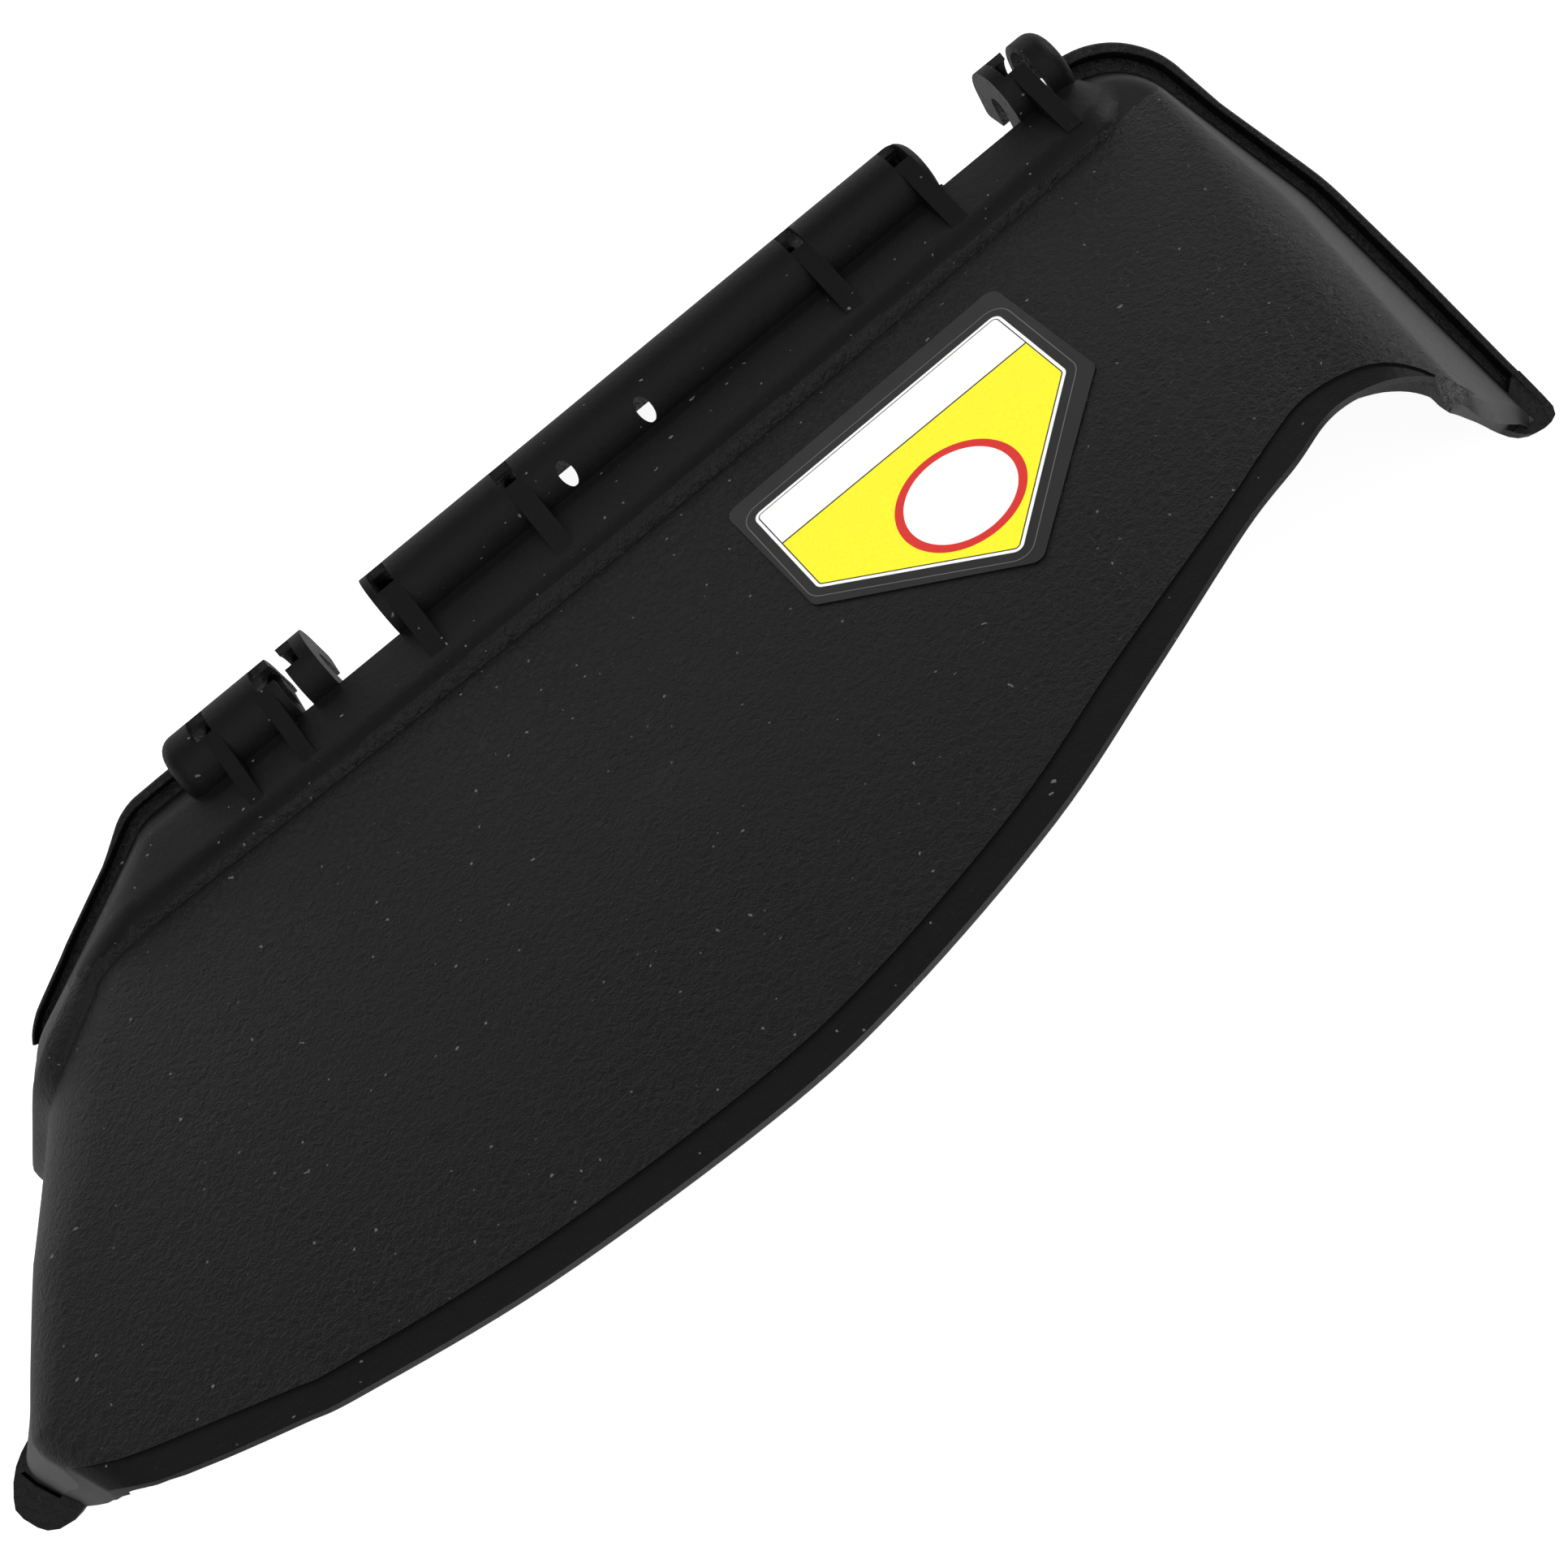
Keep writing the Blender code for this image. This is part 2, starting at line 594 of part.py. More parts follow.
def decal(material, collection):
    half = DECAL_WIDTH / 2.0
    corners = ((-half, 0.0, DECAL_ROUND), (half, 0.0, DECAL_ROUND), (half, DECAL_SHOULDER, DECAL_ROUND),
               (0.0, DECAL_HEIGHT, DECAL_ROUND), (-half, DECAL_SHOULDER, DECAL_ROUND))
    outline = []
    for point in rounded(corners, math.radians(15.0), closed=True):
        spun = turned(point, DECAL_TURN)
        outline.append(Vector((DECAL_CENTRE + spun.x, DECAL_TOP + spun.y)))
    bm = bmesh.new()
    base = PANEL_N + TOUCH_GAP
    prism(bm, outline, base, base + DECAL_THICK, through_panel)
    label = new_object("label", bm, collection)
    label.data.materials.append(material)
    return label


def plastic(name, colour, roughness):
    material = bpy.data.materials.new(name)
    material.use_nodes = True
    shader = material.node_tree.nodes["Principled BSDF"]
    shader.inputs["Base Color"].default_value = (*colour, 1.0)
    shader.inputs["Roughness"].default_value = roughness
    shader.inputs["Metallic"].default_value = 0.0
    return material


def combine(target, helper, operation):
    step = target.modifiers.new(helper.name, "BOOLEAN")
    step.operation = operation
    step.solver = "EXACT"
    step.object = helper


def stand_centred(body, things):
    """Moves all meshes so that the body stands on z = 0 with the middle of its box over the origin."""
    shape = body.evaluated_get(bpy.context.evaluated_depsgraph_get())
    corners = np.array([tuple(corner) for corner in shape.bound_box])
    low, high = corners.min(axis=0), corners.max(axis=0)
    shift = Matrix.Translation((-(low[0] + high[0]) / 2.0, -(low[1] + high[1]) / 2.0, -low[2]))
    for thing in things:
        thing.data.transform(shift)


def build():
    for thing in list(bpy.data.objects):
        bpy.data.objects.remove(thing, do_unlink=True)
    scene = bpy.context.scene
    parts = bpy.data.collections.new("deflector_chute")
    helpers = bpy.data.collections.new("cutters")
    scene.collection.children.link(parts)
    scene.collection.children.link(helpers)

    chute = hood_skin("chute", 0.0, WALL, True, parts)
    stations = wall_stations()[1:-1]
    left = [s for s in stations if LEFT_FLANGE[0][0] < s[0].x < BARRELS[0][0] + 12.0]
    right = [s for s in stations if s[0].x > STRIP_END]
    combine(chute, flange("left_flange", left, helpers), "UNION")
    combine(chute, flange("right_flange", right, helpers), "UNION")
    combine(chute, wall_return(helpers), "UNION")
    combine(chute, beyond_line("mouth_cutter", MOUTH_LINE, helpers), "DIFFERENCE")
    combine(chute, plan_prism("toe_end", TOE_END, -20.0, 190.0, helpers), "DIFFERENCE")
    combine(chute, plan_prism("right_end", RIGHT_END, -20.0, 40.0, helpers), "DIFFERENCE")
    band = hood_skin("band", BAND_DROP, 1.5, False, helpers)
    combine(band, beyond_line("band_cutter", BAND_LINE, helpers), "INTERSECT")
    combine(chute, band, "DIFFERENCE")
    combine(chute, hinge_cutter(helpers), "DIFFERENCE")
    lobe = plan_prism("toe_lobe", TOE_LOBE, 0.0, LIP_HEIGHT, helpers)
    combine(lobe, plan_prism("toe_slit", TOE_SLIT, FLOOR, 30.0, helpers), "DIFFERENCE")
    combine(chute, lobe, "UNION")

    barrel = barrel_bodies(helpers)
    hollow, rod, window, hole = barrel_cutter(helpers)
    combine(barrel, hollow, "DIFFERENCE")
    combine(barrel, window, "DIFFERENCE")
    combine(barrel, rod, "DIFFERENCE")
    combine(barrel, saddles(helpers), "UNION")
    combine(barrel, hole, "DIFFERENCE")
    combine(chute, barrel, "UNION")
    combine(chute, gussets(helpers), "UNION")

    chute.data.materials.append(plastic("black_plastic", (0.022, 0.022, 0.023), 0.55))
    decal(plastic("label_film", (0.80, 0.66, 0.08), 0.4), parts)
    stand_centred(chute, list(parts.objects) + list(helpers.objects))
    for helper in helpers.objects:
        helper.hide_render = True
        helper.display_type = "WIRE"


build()
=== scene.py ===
# Looks of the deflector chute: the moulded hood with its grained black plastic, the printed decal,
# a white floor and soft studio light.
# Lengths of the hood are in millimetres and become metres as meshes are made.
# Plan frame (x, y, z): y grows from the hinge to the mouth.
# Panel frame (x, a, n): a runs up the panel and n points outwards.

import json
import math

import bmesh
import bpy
import numpy as np
from mathutils import Matrix, Vector

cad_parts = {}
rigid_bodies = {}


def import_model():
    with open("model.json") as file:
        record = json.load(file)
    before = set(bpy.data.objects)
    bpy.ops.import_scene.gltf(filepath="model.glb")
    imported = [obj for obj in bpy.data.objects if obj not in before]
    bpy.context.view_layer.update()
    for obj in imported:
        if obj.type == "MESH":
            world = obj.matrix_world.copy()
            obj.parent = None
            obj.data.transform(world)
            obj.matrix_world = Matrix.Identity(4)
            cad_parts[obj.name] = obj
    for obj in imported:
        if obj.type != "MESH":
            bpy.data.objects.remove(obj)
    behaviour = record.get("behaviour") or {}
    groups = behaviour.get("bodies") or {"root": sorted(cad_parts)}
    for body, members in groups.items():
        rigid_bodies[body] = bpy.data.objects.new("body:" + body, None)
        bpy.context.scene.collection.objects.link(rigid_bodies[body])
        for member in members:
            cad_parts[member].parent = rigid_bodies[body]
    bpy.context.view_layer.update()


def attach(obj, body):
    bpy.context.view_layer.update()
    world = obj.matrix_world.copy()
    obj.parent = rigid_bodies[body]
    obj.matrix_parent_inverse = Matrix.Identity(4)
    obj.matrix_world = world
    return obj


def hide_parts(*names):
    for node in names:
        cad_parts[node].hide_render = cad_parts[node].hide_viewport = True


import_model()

MM = 0.001
HOOD_PLACE = (36.96, -36.55, 0.0)
SMOOTH_ANGLE = math.radians(35.0)

# panel
PANEL_TILT = math.radians(43.0)
PANEL_N = 95.8
WALL = 3.2
BAND_DROP = 0.7
SECTION_STEP = 5.0
FINE_STEP = 2.0
FINE_START = -292.0
FINE_END = -246.0

# section of a wall: samples of its straight, bend and panel run, and where its points fall
STRAIGHT_SAMPLES = 24
BEND_SAMPLES = 32
PANEL_SAMPLES = 16
MARK_PITCH = 9.0
MARK_TURN = math.radians(9.0)
BEND_SHARE = 0.8
SECTION_COUNTS = (7, 16, 26)
MARK_GAP = 0.35
LOW_SPARE = 1.2
HIGH_SPARE = 0.6

# hinge strip, raised above the panel
STRIP_RISE = 5.5
SHOULDER = 11.5
STRIP_EDGE = -69.5
GAP_EDGE = -67.7
STRIP_END = 220.5
STRIP_ROUND = 10.0
CREASE_AT = 0.9
CREASE_SHARE = 0.85
WALL_RISE = 0.6
WALL_RISE_FROM = -234.0
WALL_RISE_RUN = 20.0
CREASE_POWER = 2.4
CREASE_LEFT = -262.0
CREASE_LEFT_RUN = 60.0
CREASE_RIGHT = 30.0
CREASE_RIGHT_RUN = 50.0

# hinge barrel
BARREL_A = -81.05
BARREL_N = 100.3
BARREL_R = 14.3
BARREL_WALL = 2.8
BARREL_LEG = 10.0
ROD_R = 4.2
SADDLE = 2.8
WINDOW_LOW = 0.3
WINDOW_BACK = math.radians(131.0)
GUSSET_FOOT = 46.0
ARC_STEP = math.radians(6.0)

# flange round the foot of the walls
FOOT_START = 2.1
FLOOR = 2.6
LIP_HEIGHT = 9.0
EDGE = 0.7
EDGE_SHARE = 0.4
FLANGE_ROOT = 1.7
FLOOR_RISE_FROM = 50.0
FLOOR_RISE_RUN = 6.0

# decal
DECAL_CENTRE = 95.0
DECAL_TOP = -17.0
DECAL_WIDTH = 111.0
DECAL_SHOULDER = 57.0
DECAL_HEIGHT = 104.0
DECAL_ROUND = 4.0
DECAL_TURN = math.radians(-1.3)
TOUCH_GAP = 0.3

# walls: foot (x, y, rounding), the point of the panel its section aims at, draft and bend radius
WALL_LINE = (
    ((-331.0, 65.0, 0.0), (-200.0, 65.0), 25.6, 13.0),
    ((-349.0, 17.0, 10.0), (-238.0, 5.0), 25.6, 13.0),
    ((-295.0, -37.2, 0.0), (-219.5, -23.5), 17.2, 26.0),
    ((-243.0, -91.5, 25.0), (-201.0, -52.0), 13.5, 66.0),
    ((-175.0, -124.2, 14.0), (-163.0, -82.0), 20.0, 12.0),
    ((245.3, -121.8, 28.0), (200.0, -80.0), 20.0, 12.0),
    ((265.4, -40.0, 100.0), (196.0, -40.0), 21.5, 25.0),
    ((277.8, 80.0, 0.0), (165.0, 80.0), 21.5, 25.0),
)

# edge of the raised strip, as points (x, a)
STRIP_LINE = (
    (-345.0, -80.0), (-307.0, -75.0), (-286.5, -52.0), (-273.5, -34.0), (-258.0, -25.5), (-243.0, -20.5),
    (-231.0, -25.0),
    (-215.0, -38.0), (-200.0, -44.0), (-100.0, -41.0), (8.0, -39.0), (120.0, -41.0), (222.0, -46.0),
    (300.0, -56.0), (340.0, -60.0),
)

# mouth of the hood, and the step line of the lower band along it, as points (x, a)
MOUTH_LINE = (
    (-400.0, -30.0), (-352.0, 20.0), (-337.0, 35.7), (-325.0, 51.5), (-312.8, 67.6), (-293.0, 95.0),
    (-273.7, 121.4), (-256.0, 136.8), (-235.2, 145.8), (-206.9, 155.2), (-188.6, 160.5), (-130.0, 171.5),
    (-57.0, 176.5), (-10.0, 173.0), (49.0, 160.0), (96.0, 142.3), (142.7, 123.6), (166.0, 117.0),
    (180.0, 112.0), (189.2, 111.6), (198.0, 114.6), (206.4, 118.9), (213.4, 122.9), (218.6, 122.6),
    (228.6, 111.0), (241.0, 93.8), (254.5, 74.8), (265.0, 60.0), (270.5, 54.5), (275.0, 54.0),
    (292.0, 52.0), (330.0, 46.0),
)
BAND_LINE = (
    (-380.0, -27.0), (-360.0, 0.0), (-343.0, 23.6), (-315.0, 62.0), (-285.7, 102.1), (-271.4, 117.0),
    (-264.3, 122.6), (-253.3, 128.3), (-233.4, 135.6), (-204.7, 145.9), (-190.7, 150.1), (-130.0, 160.6),
    (-57.0, 165.6), (-11.5, 162.2), (45.5, 149.4), (92.0, 132.0), (144.1, 114.3), (160.2, 108.2),
    (176.4, 102.7), (184.9, 102.1), (192.4, 103.6), (200.0, 107.2), (205.5, 112.0), (209.5, 118.0),
    (213.5, 127.0), (222.0, 138.0), (244.0, 146.0), (300.0, 150.0),
)

# vertical planes that end the walls at the toe and at the right, as plan points
TOE_END = (
    (-375.0, 38.2), (-337.0, 38.2), (-312.0, 37.8), (-290.0, 37.0), (-276.0, 35.8), (-266.0, 35.6),
    (-256.0, 37.6), (-248.0, 39.6), (-240.0, 42.5), (-240.0, 95.0), (-375.0, 95.0),
)
RIGHT_LOBE = (
    (276.0, 50.0), (279.6, 50.0), (280.6, 62.0), (280.8, 66.5), (279.6, 69.2), (277.0, 70.3), (274.0, 70.5),
    (270.6, 69.9), (267.6, 68.2), (265.4, 65.8), (263.5, 62.6), (262.0, 59.5), (268.0, 57.0),
)
RIGHT_END = ((252.0, 67.0), (310.0, 67.0), (310.0, 100.0), (252.0, 100.0))
END_LOW = -20.0
TOE_END_HIGH = 190.0
RIGHT_END_HIGH = 40.0
RIGHT_LOBE_DROP = 0.4
BAND_CUT = 1.5

# flange along the left wall by x, and along the right wall by y: gutter width and lip width
LEFT_FLANGE = (
    (-246.5, 0.3, 0.8), (-244.0, 0.9, 1.2), (-238.0, 1.9, 1.5), (-221.0, 2.2, 1.4), (-218.0, 2.6, 1.2),
    (-190.0, 2.4, 1.3), (-172.0, 3.2, 3.2), (-160.0, 3.3, 3.3),
)
RIGHT_FLANGE = (
    (-125.0, 4.2, 4.2), (-112.0, 3.4, 3.4), (-95.0, 2.6, 2.8), (-82.0, 2.0, 2.4), (-40.0, 2.2, 2.8),
    (0.0, 2.3, 3.0), (45.0, 2.0, 2.6),
)

# lobe of the flange at the toe, and the slit between it and the wall, as plan points
TOE_LOBE = (
    (-334.0, 8.0), (-337.5, 8.7), (-341.4, 10.4), (-345.5, 12.8), (-349.6, 16.4), (-352.9, 20.5),
    (-355.0, 24.0), (-354.8, 28.1), (-353.0, 33.3), (-351.0, 36.3), (-347.4, 38.5), (-341.4, 39.4),
    (-334.5, 37.5), (-337.0, 31.0), (-341.0, 22.0), (-342.0, 16.0),
)
TOE_SLIT = (
    (-345.8, 15.6), (-344.5, 22.0), (-342.3, 27.4), (-340.8, 30.6), (-339.6, 30.1), (-341.1, 26.9),
    (-343.2, 21.7), (-344.3, 15.9),
)

# return along the front edge of the right wall: edge point (x, y, z) and width
RETURN = (
    (189.5, 15.2, 143.9, 3.6), (199.0, 18.3, 146.8, 5.6), (208.0, 24.3, 148.6, 7.8),
    (215.0, 31.0, 147.0, 9.0), (221.0, 37.3, 137.5, 9.2), (228.5, 42.3, 116.5, 8.8),
    (244.0, 50.2, 77.0, 8.7), (262.0, 58.8, 30.0, 9.0), (270.0, 62.0, 9.0, 8.8), (272.6, 63.2, 2.4, 8.6),
)
RETURN_WALL = 2.8
RETURN_INSET = 1.2
RETURN_TURN_FROM = 202.0
RETURN_TURN_RUN = 28.0
RETURN_SPANS = 5

# lengths of the barrel: start, end, web at start and end (0 is open), rounding at start and end
BARRELS = (
    (-153.5, -107.2, 3.0, 0.0, 6.0, 0.0),
    (-102.3, -91.6, 0.0, 3.0, 0.0, 0.0),
    (-65.9, 165.6, 3.0, 3.0, 0.0, 6.0),
    (198.1, 209.8, 3.0, 0.0, 0.0, 0.0),
    (212.5, 222.5, 0.0, 3.0, 0.0, 5.0),
)
WINDOWS = ((-140.2, -133.2), (-113.8, -107.0), (-102.5, -96.3), (-63.1, -55.9), (-10.3, -3.2),
           (111.8, 118.2), (155.8, 162.3), (202.6, 210.0))
GUSSETS = ((-137.2, -132.0), (-115.6, -110.0), (-61.8, -55.0), (-9.5, -2.4), (112.2, 118.9),
           (156.0, 162.7), (204.2, 210.4))
CROSS_HOLES = (9.9, 42.9)
HOLE_HALF = (2.7, 4.9)
HOLE_Y = -123.7
HOLE_LOW = -10.0
HOLE_HIGH = 60.0

SIN = math.sin(PANEL_TILT)
COS = math.cos(PANEL_TILT)


def from_plan(x, y, z):
    return Vector((x, -y, z))


def from_panel(x, a, n):
    return Vector((x, n * SIN - a * COS, a * SIN + n * COS))


def panel_height(y):
    return (PANEL_N + y * SIN) / COS


def smooth_step(value):
    value = min(1.0, max(0.0, value))
    return value * value * (3.0 - 2.0 * value)


def turned(vector, angle):
    c, s = math.cos(angle), math.sin(angle)
    return Vector((vector.x * c - vector.y * s, vector.x * s + vector.y * c))


def rounded(points, step=math.radians(3.0), closed=False):
    """Path through points (x, y, radius) with each corner turned into an arc."""
    path = []
    for index, (px, py, radius) in enumerate(points):
        here = Vector((px, py))
        if not closed and index in (0, len(points) - 1):
            path.append(here)
            continue
        way_in = (here - Vector(points[index - 1][:2])).normalized()
        way_out = (Vector(points[(index + 1) % len(points)][:2]) - here).normalized()
        turn = math.atan2(way_in.x * way_out.y - way_in.y * way_out.x, way_in.dot(way_out))
        cut = radius * math.tan(abs(turn) / 2.0)
        if cut < 1e-6:
            path.append(here)
            continue
        start = here - way_in * cut
        side = Vector((-way_in.y, way_in.x)) * math.copysign(1.0, turn)
        centre = start + side * radius
        pieces = max(1, math.ceil(abs(turn) / step))
        path += [centre + turned(start - centre, turn * k / pieces) for k in range(pieces + 1)]
    return path


def spline(points, spans):
    """Smooth curve through all points but the first and the last."""
    path = []
    for index in range(1, len(points) - 2):
        p0, p1, p2, p3 = (Vector(points[index + k]) for k in (-1, 0, 1, 2))
        for k in range(spans):
            t = k / spans
            cubic = (p2 - p0) * t + (2 * p0 - 5 * p1 + 4 * p2 - p3) * t * t
            path.append(0.5 * (2 * p1 + cubic + (3 * p1 - p0 - 3 * p2 + p3) * t ** 3))
    path.append(Vector(points[-2]))
    return path


def subdivided(path):
    """Adds points along a path, and more of them where the end of the strip crosses the wall."""
    fine = [path[0]]
    for start, end in zip(path, path[1:]):
        dense = min(start.x, end.x) < FINE_END and max(start.x, end.x) > FINE_START
        pieces = max(1, math.ceil((end - start).length / (FINE_STEP if dense else SECTION_STEP)))
        fine += [start.lerp(end, (k + 1) / pieces) for k in range(pieces)]
    return fine


# raised strip

STRIP_CURVE = spline(STRIP_LINE, 8)
STRIP_XS = [point.x for point in STRIP_CURVE]
STRIP_AS = [point.y for point in STRIP_CURVE]


def beyond_strip(x, a):
    return a - float(np.interp(x, STRIP_XS, STRIP_AS))


def rise_at(x, a):
    along, across = beyond_strip(x, a), x - STRIP_END
    corner = Vector((max(along + STRIP_ROUND, 0.0), max(across + STRIP_ROUND, 0.0))).length
    distance = min(max(along, across), -STRIP_ROUND) + corner
    full = STRIP_RISE + WALL_RISE * smooth_step((WALL_RISE_FROM - x) / WALL_RISE_RUN)
    across_shoulder = min(1.0, max(0.0, distance / SHOULDER + 0.5))
    soft = 1.0 - smooth_step(across_shoulder)
    crease = math.sqrt(max(0.0, 1.0 - (across_shoulder / CREASE_AT) ** CREASE_POWER))
    fade_right = smooth_step((STRIP_END + CREASE_RIGHT - x) / CREASE_RIGHT_RUN)
    fade_left = smooth_step((x - CREASE_LEFT) / CREASE_LEFT_RUN)
    sharp = fade_right * fade_left
    return full * (soft + (crease - soft) * sharp * CREASE_SHARE)


# walls and panel

def wall_stations():
    """Places along the foot of the walls, each with its section's aim, draft and bend radius."""
    path = subdivided(rounded([entry[0] for entry in WALL_LINE]))
    lengths = [0.0]
    for start, end in zip(path, path[1:]):
        lengths.append(lengths[-1] + (end - start).length)
    marks = []
    for (px, py, _radius), _aim, _draft, _bend in WALL_LINE:
        nearest = min(range(len(path)), key=lambda k: (path[k] - Vector((px, py))).length)
        marks.append(lengths[nearest])
    stations = []
    for index, foot in enumerate(path):
        def between(values):
            return float(np.interp(lengths[index], marks, values))
        aim = Vector((between([e[1][0] for e in WALL_LINE]), between([e[1][1] for e in WALL_LINE])))
        draft = math.radians(between([e[2] for e in WALL_LINE]))
        bend = between([e[3] for e in WALL_LINE])
        ahead = path[min(index + 1, len(path) - 1)] - path[max(index - 1, 0)]
        outward = Vector((ahead.y, -ahead.x)).normalized()
        stations.append((foot, aim, draft, bend, outward))
    return stations


def wall_profile(station):
    """Dense section (d, z) from the foot up the wall, over the bend and in on the panel."""
    foot, aim, draft, bend, _outward = station
    inward = (aim - foot).normalized()
    reach = (aim - foot).length
    slope = math.tan(PANEL_TILT) * inward.y
    height = panel_height(foot.y)
    corner_d = height / (1.0 / math.tan(draft) - slope)
    corner_z = corner_d / math.tan(draft)
    wall_angle = math.pi / 2.0 - draft
    panel_angle = math.atan(slope)
    turn = wall_angle - panel_angle
    wall_run = (corner_z - FOOT_START) / math.cos(draft)
    panel_run = (reach - corner_d) / math.cos(panel_angle)
    tangent = min(bend * math.tan(turn / 2.0), wall_run * BEND_SHARE, panel_run * BEND_SHARE)
    radius = tangent / math.tan(turn / 2.0)
    samples = [(FOOT_START * math.tan(draft), FOOT_START, 0.0)]
    arc_d = corner_d - tangent * math.cos(wall_angle)
    arc_z = corner_z - tangent * math.sin(wall_angle)
    straight = math.hypot(arc_d - samples[0][0], arc_z - FOOT_START)
    for k in range(1, STRAIGHT_SAMPLES + 1):
        t = k / STRAIGHT_SAMPLES
        samples.append((samples[0][0] + (arc_d - samples[0][0]) * t, FOOT_START + (arc_z - FOOT_START) * t,
                        straight * t / MARK_PITCH))
    for k in range(1, BEND_SAMPLES + 1):
        angle = wall_angle - turn * k / BEND_SAMPLES
        samples.append((arc_d + radius * (math.sin(wall_angle) - math.sin(angle)),
                        arc_z - radius * (math.cos(wall_angle) - math.cos(angle)),
                        straight / MARK_PITCH + (turn * k / BEND_SAMPLES) / MARK_TURN))
    last_d, last_z, last_m = samples[-1]
    rest = reach - last_d
    for k in range(1, PANEL_SAMPLES + 1):
        run = rest * k / PANEL_SAMPLES
        samples.append((last_d + run, last_z + slope * rest * k / PANEL_SAMPLES, last_m + run / MARK_PITCH))
    return inward, samples


def wall_section(station):
    """Points of one section: up to the strip's shoulder, across it, and on to the panel."""
    foot, _aim, _draft, _bend, _outward = station
    inward, samples = wall_profile(station)
    marks = [m for _d, _z, m in samples]
    sides = []
    for d, z, _m in samples:
        spot = foot + inward * d
        sides.append(beyond_strip(spot.x, spot.y * COS + z * SIN))
    first, last = marks[0] + MARK_GAP, marks[-1]
    climb = np.maximum.accumulate(sides)
    cuts = [float(np.interp(level, climb, marks)) for level in (-SHOULDER / 2.0, SHOULDER / 2.0)]
    low = min(max(cuts[0], first), last - LOW_SPARE)
    high = min(max(cuts[1], low + MARK_GAP), last - HIGH_SPARE)
    stops = [marks[0], low, high, last]
    places = []
    for part, count in enumerate(SECTION_COUNTS):
        places += [stops[part] + (stops[part + 1] - stops[part]) * k / count for k in range(count)]
    places.append(last)
    points = []
    for place in places:
        d = float(np.interp(place, marks, [s[0] for s in samples]))
        z = float(np.interp(place, marks, [s[1] for s in samples]))
        spot = foot + inward * d
        points.append((spot.x, spot.y, z))
    return points


def new_object(name, bm, collection, smooth=False):
    mesh = bpy.data.meshes.new(name)
    bmesh.ops.scale(bm, vec=(MM, MM, MM), verts=bm.verts)
    bm.to_mesh(mesh)
    bm.free()
    if smooth:
        mesh.shade_smooth()
        mesh.set_sharp_from_angle(angle=SMOOTH_ANGLE)
    thing = bpy.data.objects.new(name, mesh)
    collection.objects.link(thing)
    return thing


def hood_skin(name, drop, thickness, inwards, collection):
    """Walls and panel as one open surface, raised at the hinge strip, then thickened."""
    bm = bmesh.new()
    rows = []
    for station in wall_stations():
        rows.append([bm.verts.new(from_plan(*point)) for point in wall_section(station)])
    for left, right in zip(rows, rows[1:]):
        for k in range(len(left) - 1):
            bm.faces.new((left[k], left[k + 1], right[k + 1], right[k]))
    bm.faces.new([row[-1] for row in reversed(rows)])
    bmesh.ops.recalc_face_normals(bm, faces=bm.faces)
    bm.normal_update()
    if max(bm.faces, key=lambda face: face.calc_area()).normal.z < 0:
        bmesh.ops.reverse_faces(bm, faces=bm.faces)
        bm.normal_update()
    shifts = []
    for vert in bm.verts:
        x, a = vert.co.x, vert.co.z * SIN - vert.co.y * COS
        shifts.append(vert.normal * (rise_at(x, a) - drop))
    for vert, shift in zip(bm.verts, shifts):
        vert.co += shift
    for row in rows:
        row[0].co.z = FOOT_START
    skin = new_object(name, bm, collection, smooth=True)
    solid = skin.modifiers.new("thickness", "SOLIDIFY")
    solid.thickness = thickness * MM
    solid.offset = -1.0 if inwards else 1.0
    solid.use_even_offset = True
    return skin


# solids

# reach of the cutters past the mouth and the hinge, in the panel frame
CUT_SIDE = 460.0
CUT_FRONT = 400.0
CUT_BACK = -10.0
CUT_LOW = -330.0
CUT_HIGH = 200.0
HINGE_BACK = -150.0
HINGE_CUT_LOW = -40.0
HINGE_CUT_HIGH = 130.0


def prism(bm, outline, start, end, place):
    """Closed prism over an outline, from the place at start to the place at end."""
    floor = bm.faces.new([bm.verts.new(place(p, start)) for p in outline])
    grown = bmesh.ops.extrude_face_region(bm, geom=[floor])["geom"]
    moved = [item for item in grown if isinstance(item, bmesh.types.BMVert)]
    bmesh.ops.translate(bm, verts=moved, vec=place(outline[0], end) - place(outline[0], start))
    bmesh.ops.recalc_face_normals(bm, faces=bm.faces)


def along_hinge(point, x):
    return from_panel(x, BARREL_A + point.x, BARREL_N + point.y)


def through_panel(point, n):
    return from_panel(point.x, point.y, n)


def tombstone(radius, leg, closed_round=0.0):
    """Half circle over two straight legs, in the frame of the rod."""
    pieces = math.ceil(math.pi / ARC_STEP)
    arc = [Vector((radius * math.cos(math.pi * k / pieces), radius * math.sin(math.pi * k / pieces)))
           for k in range(pieces + 1)]
    feet = rounded(((-radius, 0.0, 0.0), (-radius, -leg, closed_round), (radius, -leg, closed_round),
                    (radius, 0.0, 0.0)), math.radians(15.0))
    return arc + feet[1:-1]


def beyond_line(name, points, collection):
    """Everything past a line across the hood, square to the panel."""
    outline = spline(points, 8)
    low = min(outline[0].y, CUT_BACK)
    outline += [Vector((CUT_SIDE, outline[-1].y)), Vector((CUT_SIDE, CUT_FRONT)),
                Vector((-CUT_SIDE, CUT_FRONT)), Vector((-CUT_SIDE, low))]
    bm = bmesh.new()
    prism(bm, outline, CUT_LOW, CUT_HIGH, through_panel)
    return new_object(name, bm, collection)


